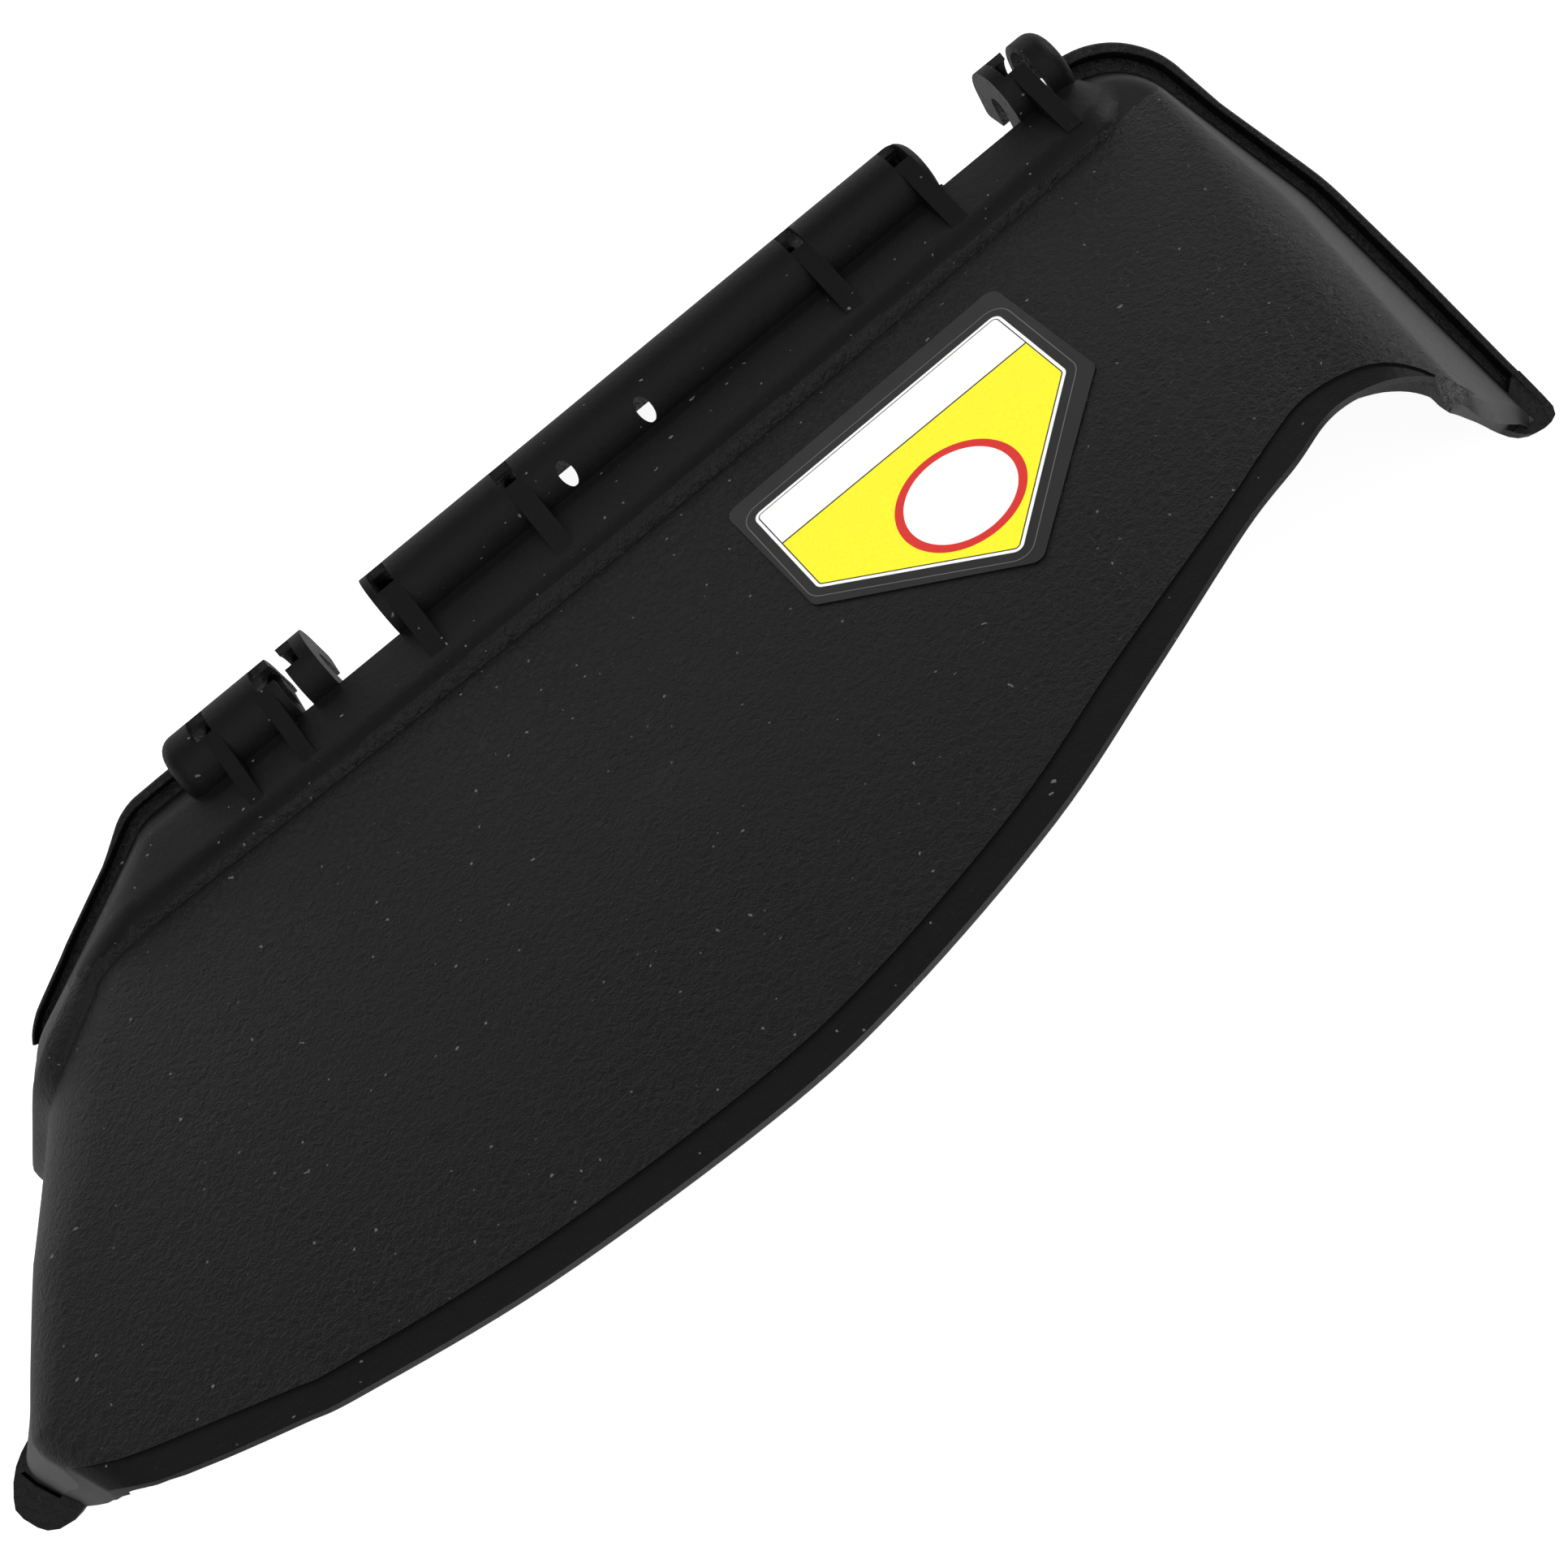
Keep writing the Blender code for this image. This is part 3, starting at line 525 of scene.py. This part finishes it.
def hinge_cutter(collection):
    """Clears the wall where the barrel takes its place, and the bracket gaps of the strip."""
    left, right = BARRELS[0][0] + 1.0, BARRELS[-1][1] - 1.0
    outline = [Vector((left, HINGE_BACK)), Vector((right, HINGE_BACK)), Vector((right, STRIP_EDGE))]
    for before, after in reversed(list(zip(BARRELS, BARRELS[1:]))):
        outline += [Vector((after[0], STRIP_EDGE)), Vector((after[0], GAP_EDGE)),
                    Vector((before[1], GAP_EDGE)), Vector((before[1], STRIP_EDGE))]
    outline.append(Vector((left, STRIP_EDGE)))
    bm = bmesh.new()
    prism(bm, outline, HINGE_CUT_LOW, HINGE_CUT_HIGH, through_panel)
    return new_object("hinge_cutter", bm, collection)


def flange_sizes(foot):
    """Gutter width, lip width and floor height at a place of the foot."""
    if foot.x < 0.0:
        table, place, floor = LEFT_FLANGE, foot.x, FLOOR
    else:
        table, place = RIGHT_FLANGE, foot.y
        floor = FLOOR + (LIP_HEIGHT - 1.0 - FLOOR) * smooth_step((foot.y - FLOOR_RISE_FROM) / FLOOR_RISE_RUN)
    places = [row[0] for row in table]
    gutter = float(np.interp(place, places, [row[1] for row in table]))
    lip = float(np.interp(place, places, [row[2] for row in table]))
    return gutter, lip, floor


def flange(name, stations, collection):
    """Turned-out flange with an upturned lip, swept along the foot of a wall."""
    bm = bmesh.new()
    loops = []
    for foot, _aim, draft, _bend, outward in stations:
        gutter, lip, floor = flange_sizes(foot)
        edge = min(EDGE, lip * EDGE_SHARE)
        start = rise_at(foot.x, foot.y * COS) * math.cos(draft)
        inner, outer = start + gutter, start + gutter + lip
        section = ((start - FLANGE_ROOT, 0.0), (outer - edge, 0.0), (outer, edge), (outer, LIP_HEIGHT - edge),
                   (outer - edge, LIP_HEIGHT), (inner + edge / 2.0, LIP_HEIGHT),
                   (inner, LIP_HEIGHT - edge / 2.0), (inner, floor), (start - FLANGE_ROOT, floor))
        loop = []
        for d, z in section:
            spot = foot + outward * d
            loop.append(bm.verts.new(from_plan(spot.x, spot.y, z)))
        loops.append(loop)
    for left, right in zip(loops, loops[1:]):
        for k in range(len(left)):
            j = (k + 1) % len(left)
            bm.faces.new((left[k], left[j], right[j], right[k]))
    bm.faces.new(loops[0])
    bm.faces.new(loops[-1])
    bmesh.ops.recalc_face_normals(bm, faces=bm.faces)
    return new_object(name, bm, collection)


def plan_prism(name, outline, low, high, collection):
    bm = bmesh.new()
    prism(bm, [Vector(p) for p in outline], low, high, lambda p, z: from_plan(p.x, p.y, z))
    return new_object(name, bm, collection)


def wall_return(collection):
    """Plate turned inwards along the front edge of the right wall."""
    back = Vector((0.0, -COS, -SIN)) * RETURN_WALL
    loops = []
    bm = bmesh.new()
    for x, y, z, width in spline([RETURN[0], *RETURN, RETURN[-1]], RETURN_SPANS):
        turn = smooth_step((x - RETURN_TURN_FROM) / RETURN_TURN_RUN)
        inwards = Vector((-turn, SIN * (1.0 - turn), -COS * (1.0 - turn))).normalized()
        edge = Vector((x, y, z)) + inwards * RETURN_INSET
        inner = Vector((x, y, z)) + inwards * width
        loops.append([bm.verts.new(from_plan(*p)) for p in (edge, inner, inner + back, edge + back)])
    for left, right in zip(loops, loops[1:]):
        for k in range(4):
            bm.faces.new((left[k], left[(k + 1) % 4], right[(k + 1) % 4], right[k]))
    bm.faces.new(loops[0])
    bm.faces.new(loops[-1])
    bmesh.ops.recalc_face_normals(bm, faces=bm.faces)
    return new_object("wall_return", bm, collection)


def rounded_end(end, inwards, round_radius):
    """Rings (x, radius) of a barrel's end, from the face to the full radius."""
    if not round_radius:
        return [(end, BARREL_R)]
    rings = []
    for k in range(9):
        angle = math.pi / 2.0 * k / 8
        rings.append((end + inwards * round_radius * (1.0 - math.cos(angle)),
                      BARREL_R - round_radius * (1.0 - math.sin(angle))))
    return rings


def barrel_bodies(collection):
    bm = bmesh.new()
    for start, end, _web_a, _web_b, round_a, round_b in BARRELS:
        rings = rounded_end(start, 1.0, round_a) + rounded_end(end, -1.0, round_b)[::-1]
        loops = []
        for x, radius in rings:
            outline = tombstone(radius, BARREL_LEG, 2.0)
            loops.append([bm.verts.new(along_hinge(p, x)) for p in outline])
        faces = [bm.faces.new(loops[0]), bm.faces.new(loops[-1])]
        for left, right in zip(loops, loops[1:]):
            for k in range(len(left)):
                j = (k + 1) % len(left)
                faces.append(bm.faces.new((left[k], left[j], right[j], right[k])))
        bmesh.ops.recalc_face_normals(bm, faces=faces)
    return new_object("barrel_bodies", bm, collection, smooth=True)


def strap_foot():
    return Vector((GUSSET_FOOT - BARREL_R + 2.0, PANEL_N + STRIP_RISE - BARREL_N))


def crown_angle():
    """Where the top of a gusset strap leaves the barrel, seen from the rod."""
    foot = strap_foot()
    return math.atan2(foot.y, foot.x) + math.acos(BARREL_R / foot.length)


def barrel_cutter(collection):
    """Hollow of each barrel, rod channel, windows and cross holes."""
    bm = bmesh.new()
    deep = 40.0
    for start, end, web_a, web_b, _round_a, _round_b in BARRELS:
        low = start + (web_a or -1.0)
        high = end - (web_b or -1.0)
        outline = tombstone(BARREL_R - BARREL_WALL, deep)
        outline[-1:] = [Vector((BARREL_R + 6.0, -deep)), Vector((BARREL_R + 6.0, -BARREL_WALL / 2.0)),
                        Vector((BARREL_R - BARREL_WALL, -BARREL_WALL / 2.0))]
        prism(bm, outline, low, high, along_hinge)
    hollow = new_object("barrel_hollow", bm, collection)
    bm = bmesh.new()
    prism(bm, tombstone(ROD_R, deep), BARRELS[0][0] - 5.0, BARRELS[-1][1] + 5.0, along_hinge)
    rod = new_object("rod_cutter", bm, collection)
    bm = bmesh.new()
    crown = crown_angle()
    outline = [Vector((0.0, WINDOW_LOW)), Vector((40.0 * math.cos(crown), 40.0 * math.sin(crown))),
               Vector((40.0 * math.cos(WINDOW_BACK), 40.0 * math.sin(WINDOW_BACK)))]
    for left, right in WINDOWS:
        prism(bm, outline, left, right, along_hinge)
    window = new_object("window_cutter", bm, collection)
    bm = bmesh.new()
    for centre in CROSS_HOLES:
        oval = [Vector((centre + HOLE_HALF[0] * math.cos(k * math.pi / 16),
                        HOLE_Y + HOLE_HALF[1] * math.sin(k * math.pi / 16))) for k in range(32)]
        prism(bm, oval, HOLE_LOW, HOLE_HIGH, lambda p, z: from_plan(p.x, p.y, z))
    hole = new_object("hole_cutter", bm, collection)
    return hollow, rod, window, hole


def saddles(collection):
    """Seats under the windows that close the rod channel from below."""
    bm = bmesh.new()
    half = BARREL_R - BARREL_WALL / 2.0
    outline = [Vector((-half, -0.3)), Vector((-half, -ROD_R - SADDLE)),
               Vector((half, -ROD_R - SADDLE)), Vector((half, -0.3))]
    outline += [Vector((ROD_R * math.cos(math.pi * k / 16), -0.3 - ROD_R * math.sin(math.pi * k / 16)))
                for k in range(17)]
    for left, right in WINDOWS:
        prism(bm, outline, left + 0.6, right - 0.6, along_hinge)
    return new_object("saddles", bm, collection)


def gussets(collection):
    """Straps that run tangent from the crown of the barrel down to the strip."""
    foot, crown = strap_foot(), crown_angle()
    inner = BARREL_R - BARREL_WALL + 0.4
    arc = [Vector((inner * math.cos(crown * k / 16), inner * math.sin(crown * k / 16))) for k in range(17)]
    outline = [Vector((BARREL_R * math.cos(crown), BARREL_R * math.sin(crown))), foot,
               Vector((foot.x, foot.y - 1.6)), Vector((inner + 0.6, foot.y - 1.6))] + arc[1:]
    bm = bmesh.new()
    for left, right in GUSSETS:
        prism(bm, outline, left, right, along_hinge)
    return new_object("gussets", bm, collection)


def combine(target, helper, operation, crossing=False):
    step = target.modifiers.new(helper.name, "BOOLEAN")
    step.use_self = crossing
    step.operation = operation
    step.solver = "EXACT"
    step.object = helper


def moulded_hood():
    """The whole moulding as one mesh, at the place of its solid."""
    parts = bpy.data.collections.new("moulding")
    bpy.context.scene.collection.children.link(parts)
    chute = hood_skin("hood", 0.0, WALL, True, parts)
    stations = wall_stations()[1:-1]
    left = [s for s in stations if LEFT_FLANGE[0][0] < s[0].x < BARRELS[0][0] + 12.0]
    right = [s for s in stations if s[0].x > STRIP_END]
    combine(chute, flange("left_flange", left, parts), "UNION")
    combine(chute, flange("right_flange", right, parts), "UNION")
    combine(chute, wall_return(parts), "UNION")
    combine(chute, beyond_line("mouth_cutter", MOUTH_LINE, parts), "DIFFERENCE")
    combine(chute, plan_prism("toe_end", TOE_END, END_LOW, TOE_END_HIGH, parts), "DIFFERENCE")
    combine(chute, plan_prism("right_end", RIGHT_END, END_LOW, RIGHT_END_HIGH, parts), "DIFFERENCE")
    band = hood_skin("band", BAND_DROP, BAND_CUT, False, parts)
    combine(band, beyond_line("band_cutter", BAND_LINE, parts), "INTERSECT", crossing=True)
    combine(chute, band, "DIFFERENCE", crossing=True)
    combine(chute, hinge_cutter(parts), "DIFFERENCE")
    lobe = plan_prism("toe_lobe", TOE_LOBE, 0.0, LIP_HEIGHT, parts)
    combine(lobe, plan_prism("toe_slit", TOE_SLIT, FLOOR, 30.0, parts), "DIFFERENCE")
    combine(chute, lobe, "UNION")
    combine(chute, plan_prism("right_lobe", RIGHT_LOBE, 0.0, LIP_HEIGHT - RIGHT_LOBE_DROP, parts), "UNION")
    barrel = barrel_bodies(parts)
    hollow, rod, window, hole = barrel_cutter(parts)
    combine(barrel, hollow, "DIFFERENCE")
    combine(barrel, window, "DIFFERENCE")
    combine(barrel, rod, "DIFFERENCE")
    combine(barrel, saddles(parts), "UNION")
    combine(barrel, hole, "DIFFERENCE")
    combine(chute, barrel, "UNION")
    combine(chute, gussets(parts), "UNION")

    shape = chute.evaluated_get(bpy.context.evaluated_depsgraph_get())
    mesh = bpy.data.meshes.new_from_object(shape)
    for thing in list(parts.objects):
        bpy.data.objects.remove(thing, do_unlink=True)
    bpy.data.collections.remove(parts)
    shift = Vector(HOOD_PLACE) * MM
    mesh.transform(Matrix.Translation(shift))
    mesh.shade_smooth()
    mesh.set_sharp_from_angle(angle=SMOOTH_ANGLE)
    hood = bpy.data.objects.new("hood", mesh)
    bpy.context.scene.collection.objects.link(hood)
    return hood, shift


# decal

PENTAGON = ((45.3, -6.4, 3.0), (144.8, -7.5, 3.0), (144.8, 32.5, 3.0), (95.5, 78.8, 3.0), (45.3, 36.6, 3.0))
HEADER_END = 11.6
RING_CENTRE = (95.1, 45.0)
RING_R = 21.3
RING_STROKE = 2.9
GREY_OUT = -3.4
DARK_OUT = -3.1
DARK_IN = 1.05
FIELD_IN = 1.45
HEADER_GAP = 0.3
FIELD_STEP = math.radians(10.0)
FILM = 0.22
LAYER = 0.035


def film_outline():
    half = DECAL_WIDTH / 2.0
    corners = ((-half, 0.0, DECAL_ROUND), (half, 0.0, DECAL_ROUND), (half, DECAL_SHOULDER, DECAL_ROUND),
               (0.0, DECAL_HEIGHT, DECAL_ROUND), (-half, DECAL_SHOULDER, DECAL_ROUND))
    outline = []
    for point in rounded(corners, math.radians(6.0), closed=True):
        spun = turned(point, DECAL_TURN)
        outline.append(Vector((DECAL_CENTRE + spun.x, DECAL_TOP + spun.y)))
    return outline


def shrunk(corners, margin):
    """The same polygon with each side moved inwards, or outwards for a negative margin."""
    lines = []
    for index, corner in enumerate(corners):
        here, after = Vector(corner[:2]), Vector(corners[(index + 1) % len(corners)][:2])
        along = (after - here).normalized()
        lines.append((here + Vector((-along.y, along.x)) * margin, along))
    moved = []
    for index, corner in enumerate(corners):
        (p, d), (q, e) = lines[index - 1], lines[index]
        t = ((q.x - p.x) * e.y - (q.y - p.y) * e.x) / (d.x * e.y - d.y * e.x)
        spot = p + d * t
        moved.append((spot.x, spot.y, max(corner[2] - margin, 0.4)))
    return moved


def disc(centre, radius):
    angles = [math.pi * k / 48 for k in range(96)]
    return [Vector((centre[0] + radius * math.cos(a), centre[1] + radius * math.sin(a))) for a in angles]


def cut_at(outline, level, below):
    """The part of an outline on one side of a line across it."""
    kept = []
    for index, here in enumerate(outline):
        after = outline[(index + 1) % len(outline)]
        if (here.y <= level) == below:
            kept.append(here)
        if (here.y <= level) != (after.y <= level):
            kept.append(here.lerp(after, (level - here.y) / (after.y - here.y)))
    return kept


def field(margin):
    return rounded(shrunk(PENTAGON, margin), FIELD_STEP, closed=True)


def printed_decal(shift, inks):
    """Film with fields of colour, each field a thin layer on the one below it."""
    inner = field(FIELD_IN)
    layers = [
        (film_outline(), 0.0, "film"),
        (field(GREY_OUT), 1.0, "grey"),
        (field(DARK_OUT), 2.0, "film"),
        (rounded(PENTAGON, FIELD_STEP, closed=True), 3.0, "white"),
        (field(DARK_IN), 4.0, "film"),
        (cut_at(inner, HEADER_END - HEADER_GAP, True), 5.0, "white"),
        (cut_at(inner, HEADER_END + HEADER_GAP, False), 5.0, "yellow"),
        (disc(RING_CENTRE, RING_R), 6.0, "red"),
        (disc(RING_CENTRE, RING_R - RING_STROKE), 7.0, "white"),
    ]
    names = ["film", "white", "yellow", "red", "grey"]
    bm = bmesh.new()
    for outline, level, ink in layers:
        before = set(bm.faces)
        base = PANEL_N + TOUCH_GAP + (FILM + (level - 1.0) * LAYER if level else 0.0)
        top = PANEL_N + TOUCH_GAP + FILM + level * LAYER
        prism(bm, outline, base, top, through_panel)
        for face in set(bm.faces) - before:
            face.material_index = names.index(ink)
    mesh = bpy.data.meshes.new("decal")
    bmesh.ops.scale(bm, vec=(MM, MM, MM), verts=bm.verts)
    bm.to_mesh(mesh)
    bm.free()
    mesh.transform(Matrix.Translation(shift))
    decal = bpy.data.objects.new("decal", mesh)
    for name in names:
        mesh.materials.append(inks[name])
    bpy.context.scene.collection.objects.link(decal)
    return decal


# materials

GATE_PLACE = (-0.0996, -0.0506, 0.1441)
GATE_RADIUS = 0.0034
HAZE_PLACE = (0.0081, -0.0232, 0.1185)
HAZE_RADIUS = 0.022
FLOOR_GLOW = 0.9
FLOOR_MIRRORED = 0.14

# the lowered band and the low hinge side take the smooth plastic, past these lengths; its lower gloss is
# painted shade on them
HINGE_SIDE = 96.0
HINGE_LOW = 20.0
BAND_MARGIN = 0.3


def blank(name):
    material = bpy.data.materials.new(name)
    material.use_nodes = True
    nodes, links = material.node_tree.nodes, material.node_tree.links
    return material, nodes, links, nodes["Principled BSDF"]


def noise(nodes, links, where, scale, detail=3.0, roughness=0.55, distortion=0.0):
    node = nodes.new("ShaderNodeTexNoise")
    node.inputs["Scale"].default_value = scale
    node.inputs["Detail"].default_value = detail
    node.inputs["Roughness"].default_value = roughness
    node.inputs["Distortion"].default_value = distortion
    links.new(where, node.inputs["Vector"])
    return node.outputs["Fac"]


def spread(nodes, links, value, low, high, to_low, to_high):
    node = nodes.new("ShaderNodeMapRange")
    for name, number in (("From Min", low), ("From Max", high), ("To Min", to_low), ("To Max", to_high)):
        node.inputs[name].default_value = number
    links.new(value, node.inputs["Value"])
    return node.outputs["Result"]


def mixed(nodes, links, amount, first, second):
    node = nodes.new("ShaderNodeMix")
    node.data_type = "RGBA"
    node.inputs[6].default_value = (*first, 1.0)
    node.inputs[7].default_value = (*second, 1.0)
    links.new(amount, node.inputs[0])
    return node.outputs[2]


def near_spot(nodes, links, where, base, place, radius, colour, broken):
    """Base colour with a soft-edged round mark around one place of the object."""
    away = nodes.new("ShaderNodeVectorMath")
    away.operation = "DISTANCE"
    away.inputs[1].default_value = place
    links.new(where, away.inputs[0])
    amount = spread(nodes, links, away.outputs["Value"], radius * 0.75, radius, 0.7, 0.0)
    if broken:
        times = nodes.new("ShaderNodeMath")
        times.operation = "MULTIPLY"
        links.new(amount, times.inputs[0])
        links.new(spread(nodes, links, broken, 0.4, 0.6, 0.0, 1.0), times.inputs[1])
        amount = times.outputs[0]
    mark = nodes.new("ShaderNodeMix")
    mark.data_type = "RGBA"
    mark.inputs[7].default_value = (*colour, 1.0)
    links.new(amount, mark.inputs[0])
    links.new(base, mark.inputs[6])
    return mark.outputs[2]


def black_plastic(name, grain, roughness, gloss):
    """Black plastic with a moulded grain, a soft sheen, cloudy handling marks and a little dust."""
    material, nodes, links, shader = blank(name)
    where = nodes.new("ShaderNodeTexCoord").outputs["Object"]
    coarse = noise(nodes, links, where, 430.0, 3.0, 0.6, 0.8)
    fine = noise(nodes, links, where, 1600.0, 2.0, 0.5)
    clouds = noise(nodes, links, where, 9.0, 4.0, 0.6)
    dust = noise(nodes, links, where, 520.0, 0.0, 0.5)

    height = nodes.new("ShaderNodeMath")
    height.operation = "MULTIPLY_ADD"
    height.inputs[1].default_value = 0.3
    links.new(fine, height.inputs[0])
    links.new(coarse, height.inputs[2])
    edge = nodes.new("ShaderNodeBevel")
    edge.samples = 4
    edge.inputs["Radius"].default_value = 0.0003
    bump = nodes.new("ShaderNodeBump")
    bump.inputs["Strength"].default_value = grain
    bump.inputs["Distance"].default_value = 0.0008
    links.new(height.outputs[0], bump.inputs["Height"])
    links.new(edge.outputs["Normal"], bump.inputs["Normal"])
    links.new(bump.outputs["Normal"], shader.inputs["Normal"])

    shade = spread(nodes, links, clouds, 0.3, 0.7, 0.0, 1.0)
    plain = mixed(nodes, links, shade, (0.0034, 0.0034, 0.0035), (0.005, 0.0049, 0.0049))
    hazed = near_spot(nodes, links, where, plain, HAZE_PLACE, HAZE_RADIUS, (0.009, 0.008, 0.009), clouds)
    plain = near_spot(nodes, links, where, hazed, GATE_PLACE, GATE_RADIUS, (0.0015, 0.0015, 0.0015), None)
    speck = nodes.new("ShaderNodeMix")
    speck.data_type = "RGBA"
    speck.inputs[7].default_value = (0.16, 0.15, 0.14, 1.0)
    links.new(spread(nodes, links, dust, 0.835, 0.86, 0.0, 0.6), speck.inputs[0])
    links.new(plain, speck.inputs[6])
    links.new(speck.outputs[2], shader.inputs["Base Color"])
    sheen = spread(nodes, links, clouds, 0.3, 0.7, roughness - 0.04, roughness + 0.05)
    links.new(sheen, shader.inputs["Roughness"])
    shader.inputs["IOR"].default_value = 1.42
    shader.inputs["Specular IOR Level"].default_value = gloss
    return material


def ink(name, colour, roughness, ripple):
    """Print on satin film, with a faint ripple of the film in its gloss."""
    material, nodes, links, shader = blank(name)
    where = nodes.new("ShaderNodeTexCoord").outputs["Object"]
    wave = noise(nodes, links, where, 60.0, 2.0, 0.5)
    fleck = noise(nodes, links, where, 900.0, 2.0, 0.5)
    darker = tuple(c * 0.94 for c in colour)
    links.new(mixed(nodes, links, spread(nodes, links, fleck, 0.35, 0.65, 0.0, 1.0), darker, colour),
              shader.inputs["Base Color"])
    links.new(spread(nodes, links, wave, 0.3, 0.7, roughness, roughness + 0.08), shader.inputs["Roughness"])
    bump = nodes.new("ShaderNodeBump")
    bump.inputs["Strength"].default_value = ripple
    bump.inputs["Distance"].default_value = 0.0002
    links.new(wave, bump.inputs["Height"])
    links.new(bump.outputs["Normal"], shader.inputs["Normal"])
    return material


def floor_white():
    """White table: near white to the camera, faint in mirrored rays, and it keeps the object's shadow."""
    material, nodes, links, shader = blank("white_table")
    shader.inputs["Base Color"].default_value = (0.42, 0.42, 0.42, 1.0)
    shader.inputs["Roughness"].default_value = 0.9
    shader.inputs["Specular IOR Level"].default_value = 0.1
    path = nodes.new("ShaderNodeLightPath")
    mirrored = nodes.new("ShaderNodeMath")
    mirrored.operation = "MULTIPLY"
    mirrored.inputs[1].default_value = FLOOR_MIRRORED
    links.new(path.outputs["Is Glossy Ray"], mirrored.inputs[0])
    glow = nodes.new("ShaderNodeMath")
    glow.operation = "MULTIPLY_ADD"
    glow.inputs[1].default_value = FLOOR_GLOW
    links.new(path.outputs["Is Camera Ray"], glow.inputs[0])
    links.new(mirrored.outputs[0], glow.inputs[2])
    shader.inputs["Emission Color"].default_value = (1.0, 1.0, 1.0, 1.0)
    links.new(glow.outputs[0], shader.inputs["Emission Strength"])
    return material


# stage

WORLD_LIGHT = 0.03
FLOOR_HALF = 0.62
CAMERA_HEIGHT = 0.801
CAMERA_ROLL = math.radians(39.5)
CAMERA_LENS = 54.04
CAMERA_SENSOR = 36.0

# name, place, aim, size, watts and whether mirrored rays see it
SOFTBOXES = (
    ("overhead", (0.0, 0.9, 1.5), (0.0, 0.0, 0.0), (1.2, 0.9), 27.0, False),
    ("crest", (0.0, 0.0, 1.9), (0.0, 0.0, 0.0), (3.2, 2.4), 18.0, True),
    ("hinge", (0.0, 1.5, 0.12), (0.0, 0.0, 0.1), (1.8, 0.24), 1.6, True),
    ("left", (-1.4, 0.3, 0.3), (-0.2, 0.0, 0.05), (0.7, 0.4), 1.2, True),
    ("right", (1.3, 0.6, 0.28), (0.2, 0.0, 0.05), (0.5, 0.3), 3.4, True),
    ("mouth", (0.0, -1.3, 0.1), (0.0, 0.0, 0.1), (2.0, 0.3), 14.0, True),
)


def white_floor():
    bm = bmesh.new()
    bmesh.ops.create_grid(bm, x_segments=1, y_segments=1, size=FLOOR_HALF)
    mesh = bpy.data.meshes.new("table")
    bm.to_mesh(mesh)
    bm.free()
    mesh.materials.append(floor_white())
    table = bpy.data.objects.new("table", mesh)
    bpy.context.scene.collection.objects.link(table)


def softbox(name, place, aim, size, watts, mirrored):
    lamp = bpy.data.lights.new(name, "AREA")
    lamp.shape = "RECTANGLE"
    lamp.size, lamp.size_y = size
    lamp.energy = watts
    box = bpy.data.objects.new(name, lamp)
    box.location = place
    box.visible_glossy = mirrored
    box.rotation_euler = (Vector(aim) - Vector(place)).to_track_quat("-Z", "Y").to_euler()
    bpy.context.scene.collection.objects.link(box)


def soft_sky():
    world = bpy.data.worlds.new("studio")
    bpy.context.scene.world = world
    world.use_nodes = True
    nodes, links = world.node_tree.nodes, world.node_tree.links
    path = nodes.new("ShaderNodeLightPath")
    level = nodes.new("ShaderNodeMapRange")
    level.inputs["To Min"].default_value = WORLD_LIGHT
    level.inputs["To Max"].default_value = 1.0
    links.new(path.outputs["Is Camera Ray"], level.inputs["Value"])
    back = nodes["Background"]
    back.inputs["Color"].default_value = (1.0, 1.0, 1.0, 1.0)
    links.new(level.outputs["Result"], back.inputs["Strength"])


def camera(shift):
    """Straight above, turned as the photograph is, at the height its perspective gives."""
    lens = bpy.data.cameras.new("photo_camera")
    lens.sensor_width = CAMERA_SENSOR
    lens.lens = CAMERA_LENS
    lens.clip_start, lens.clip_end = 0.02, 20.0
    seat = bpy.data.objects.new("photo_camera", lens)
    seat.location = (shift.x, shift.y, CAMERA_HEIGHT)
    seat.rotation_euler = (0.0, 0.0, -CAMERA_ROLL)
    bpy.context.scene.collection.objects.link(seat)
    bpy.context.scene.camera = seat


def build():
    hood, shift = moulded_hood()
    hood.data.materials.clear()
    hood.data.materials.append(black_plastic("grained_black_plastic", 1.0, 0.42, 0.5))
    # smooth plastic with less grain; its lower gloss is painted shade that darkens the lowered band and the
    # hinge side
    hood.data.materials.append(black_plastic("smooth_black_plastic_painted_shade", 0.25, 0.5, 0.3))
    band = spline(BAND_LINE, 8)
    band_xs, band_as = [p.x for p in band], [p.y for p in band]
    for face in hood.data.polygons:
        spots = [(hood.data.vertices[k].co - shift) / MM for k in face.vertices]
        beyond = min(p.z * SIN - p.y * COS - float(np.interp(p.x, band_xs, band_as)) for p in spots)
        plain = min(p.y for p in spots) > HINGE_SIDE and min(p.z for p in spots) > HINGE_LOW
        face.material_index = 1 if beyond > -BAND_MARGIN or plain else 0
    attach(hood, "root")
    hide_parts("chute")

    inks = {
        "film": ink("black_film", (0.012, 0.012, 0.012), 0.38, 0.1),
        "white": ink("white_print", (0.86, 0.86, 0.85), 0.35, 0.1),
        "yellow": ink("yellow_print", (0.93, 0.80, 0.02), 0.35, 0.1),
        "red": ink("red_print", (0.60, 0.025, 0.02), 0.35, 0.1),
        "grey": ink("grey_print", (0.11, 0.11, 0.11), 0.35, 0.1),
    }
    decal = printed_decal(shift, inks)
    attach(decal, "root")
    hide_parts("label")

    white_floor()
    soft_sky()
    for box in SOFTBOXES:
        softbox(*box)
    camera(shift)
    bpy.context.scene.view_settings.view_transform = "Standard"


build()
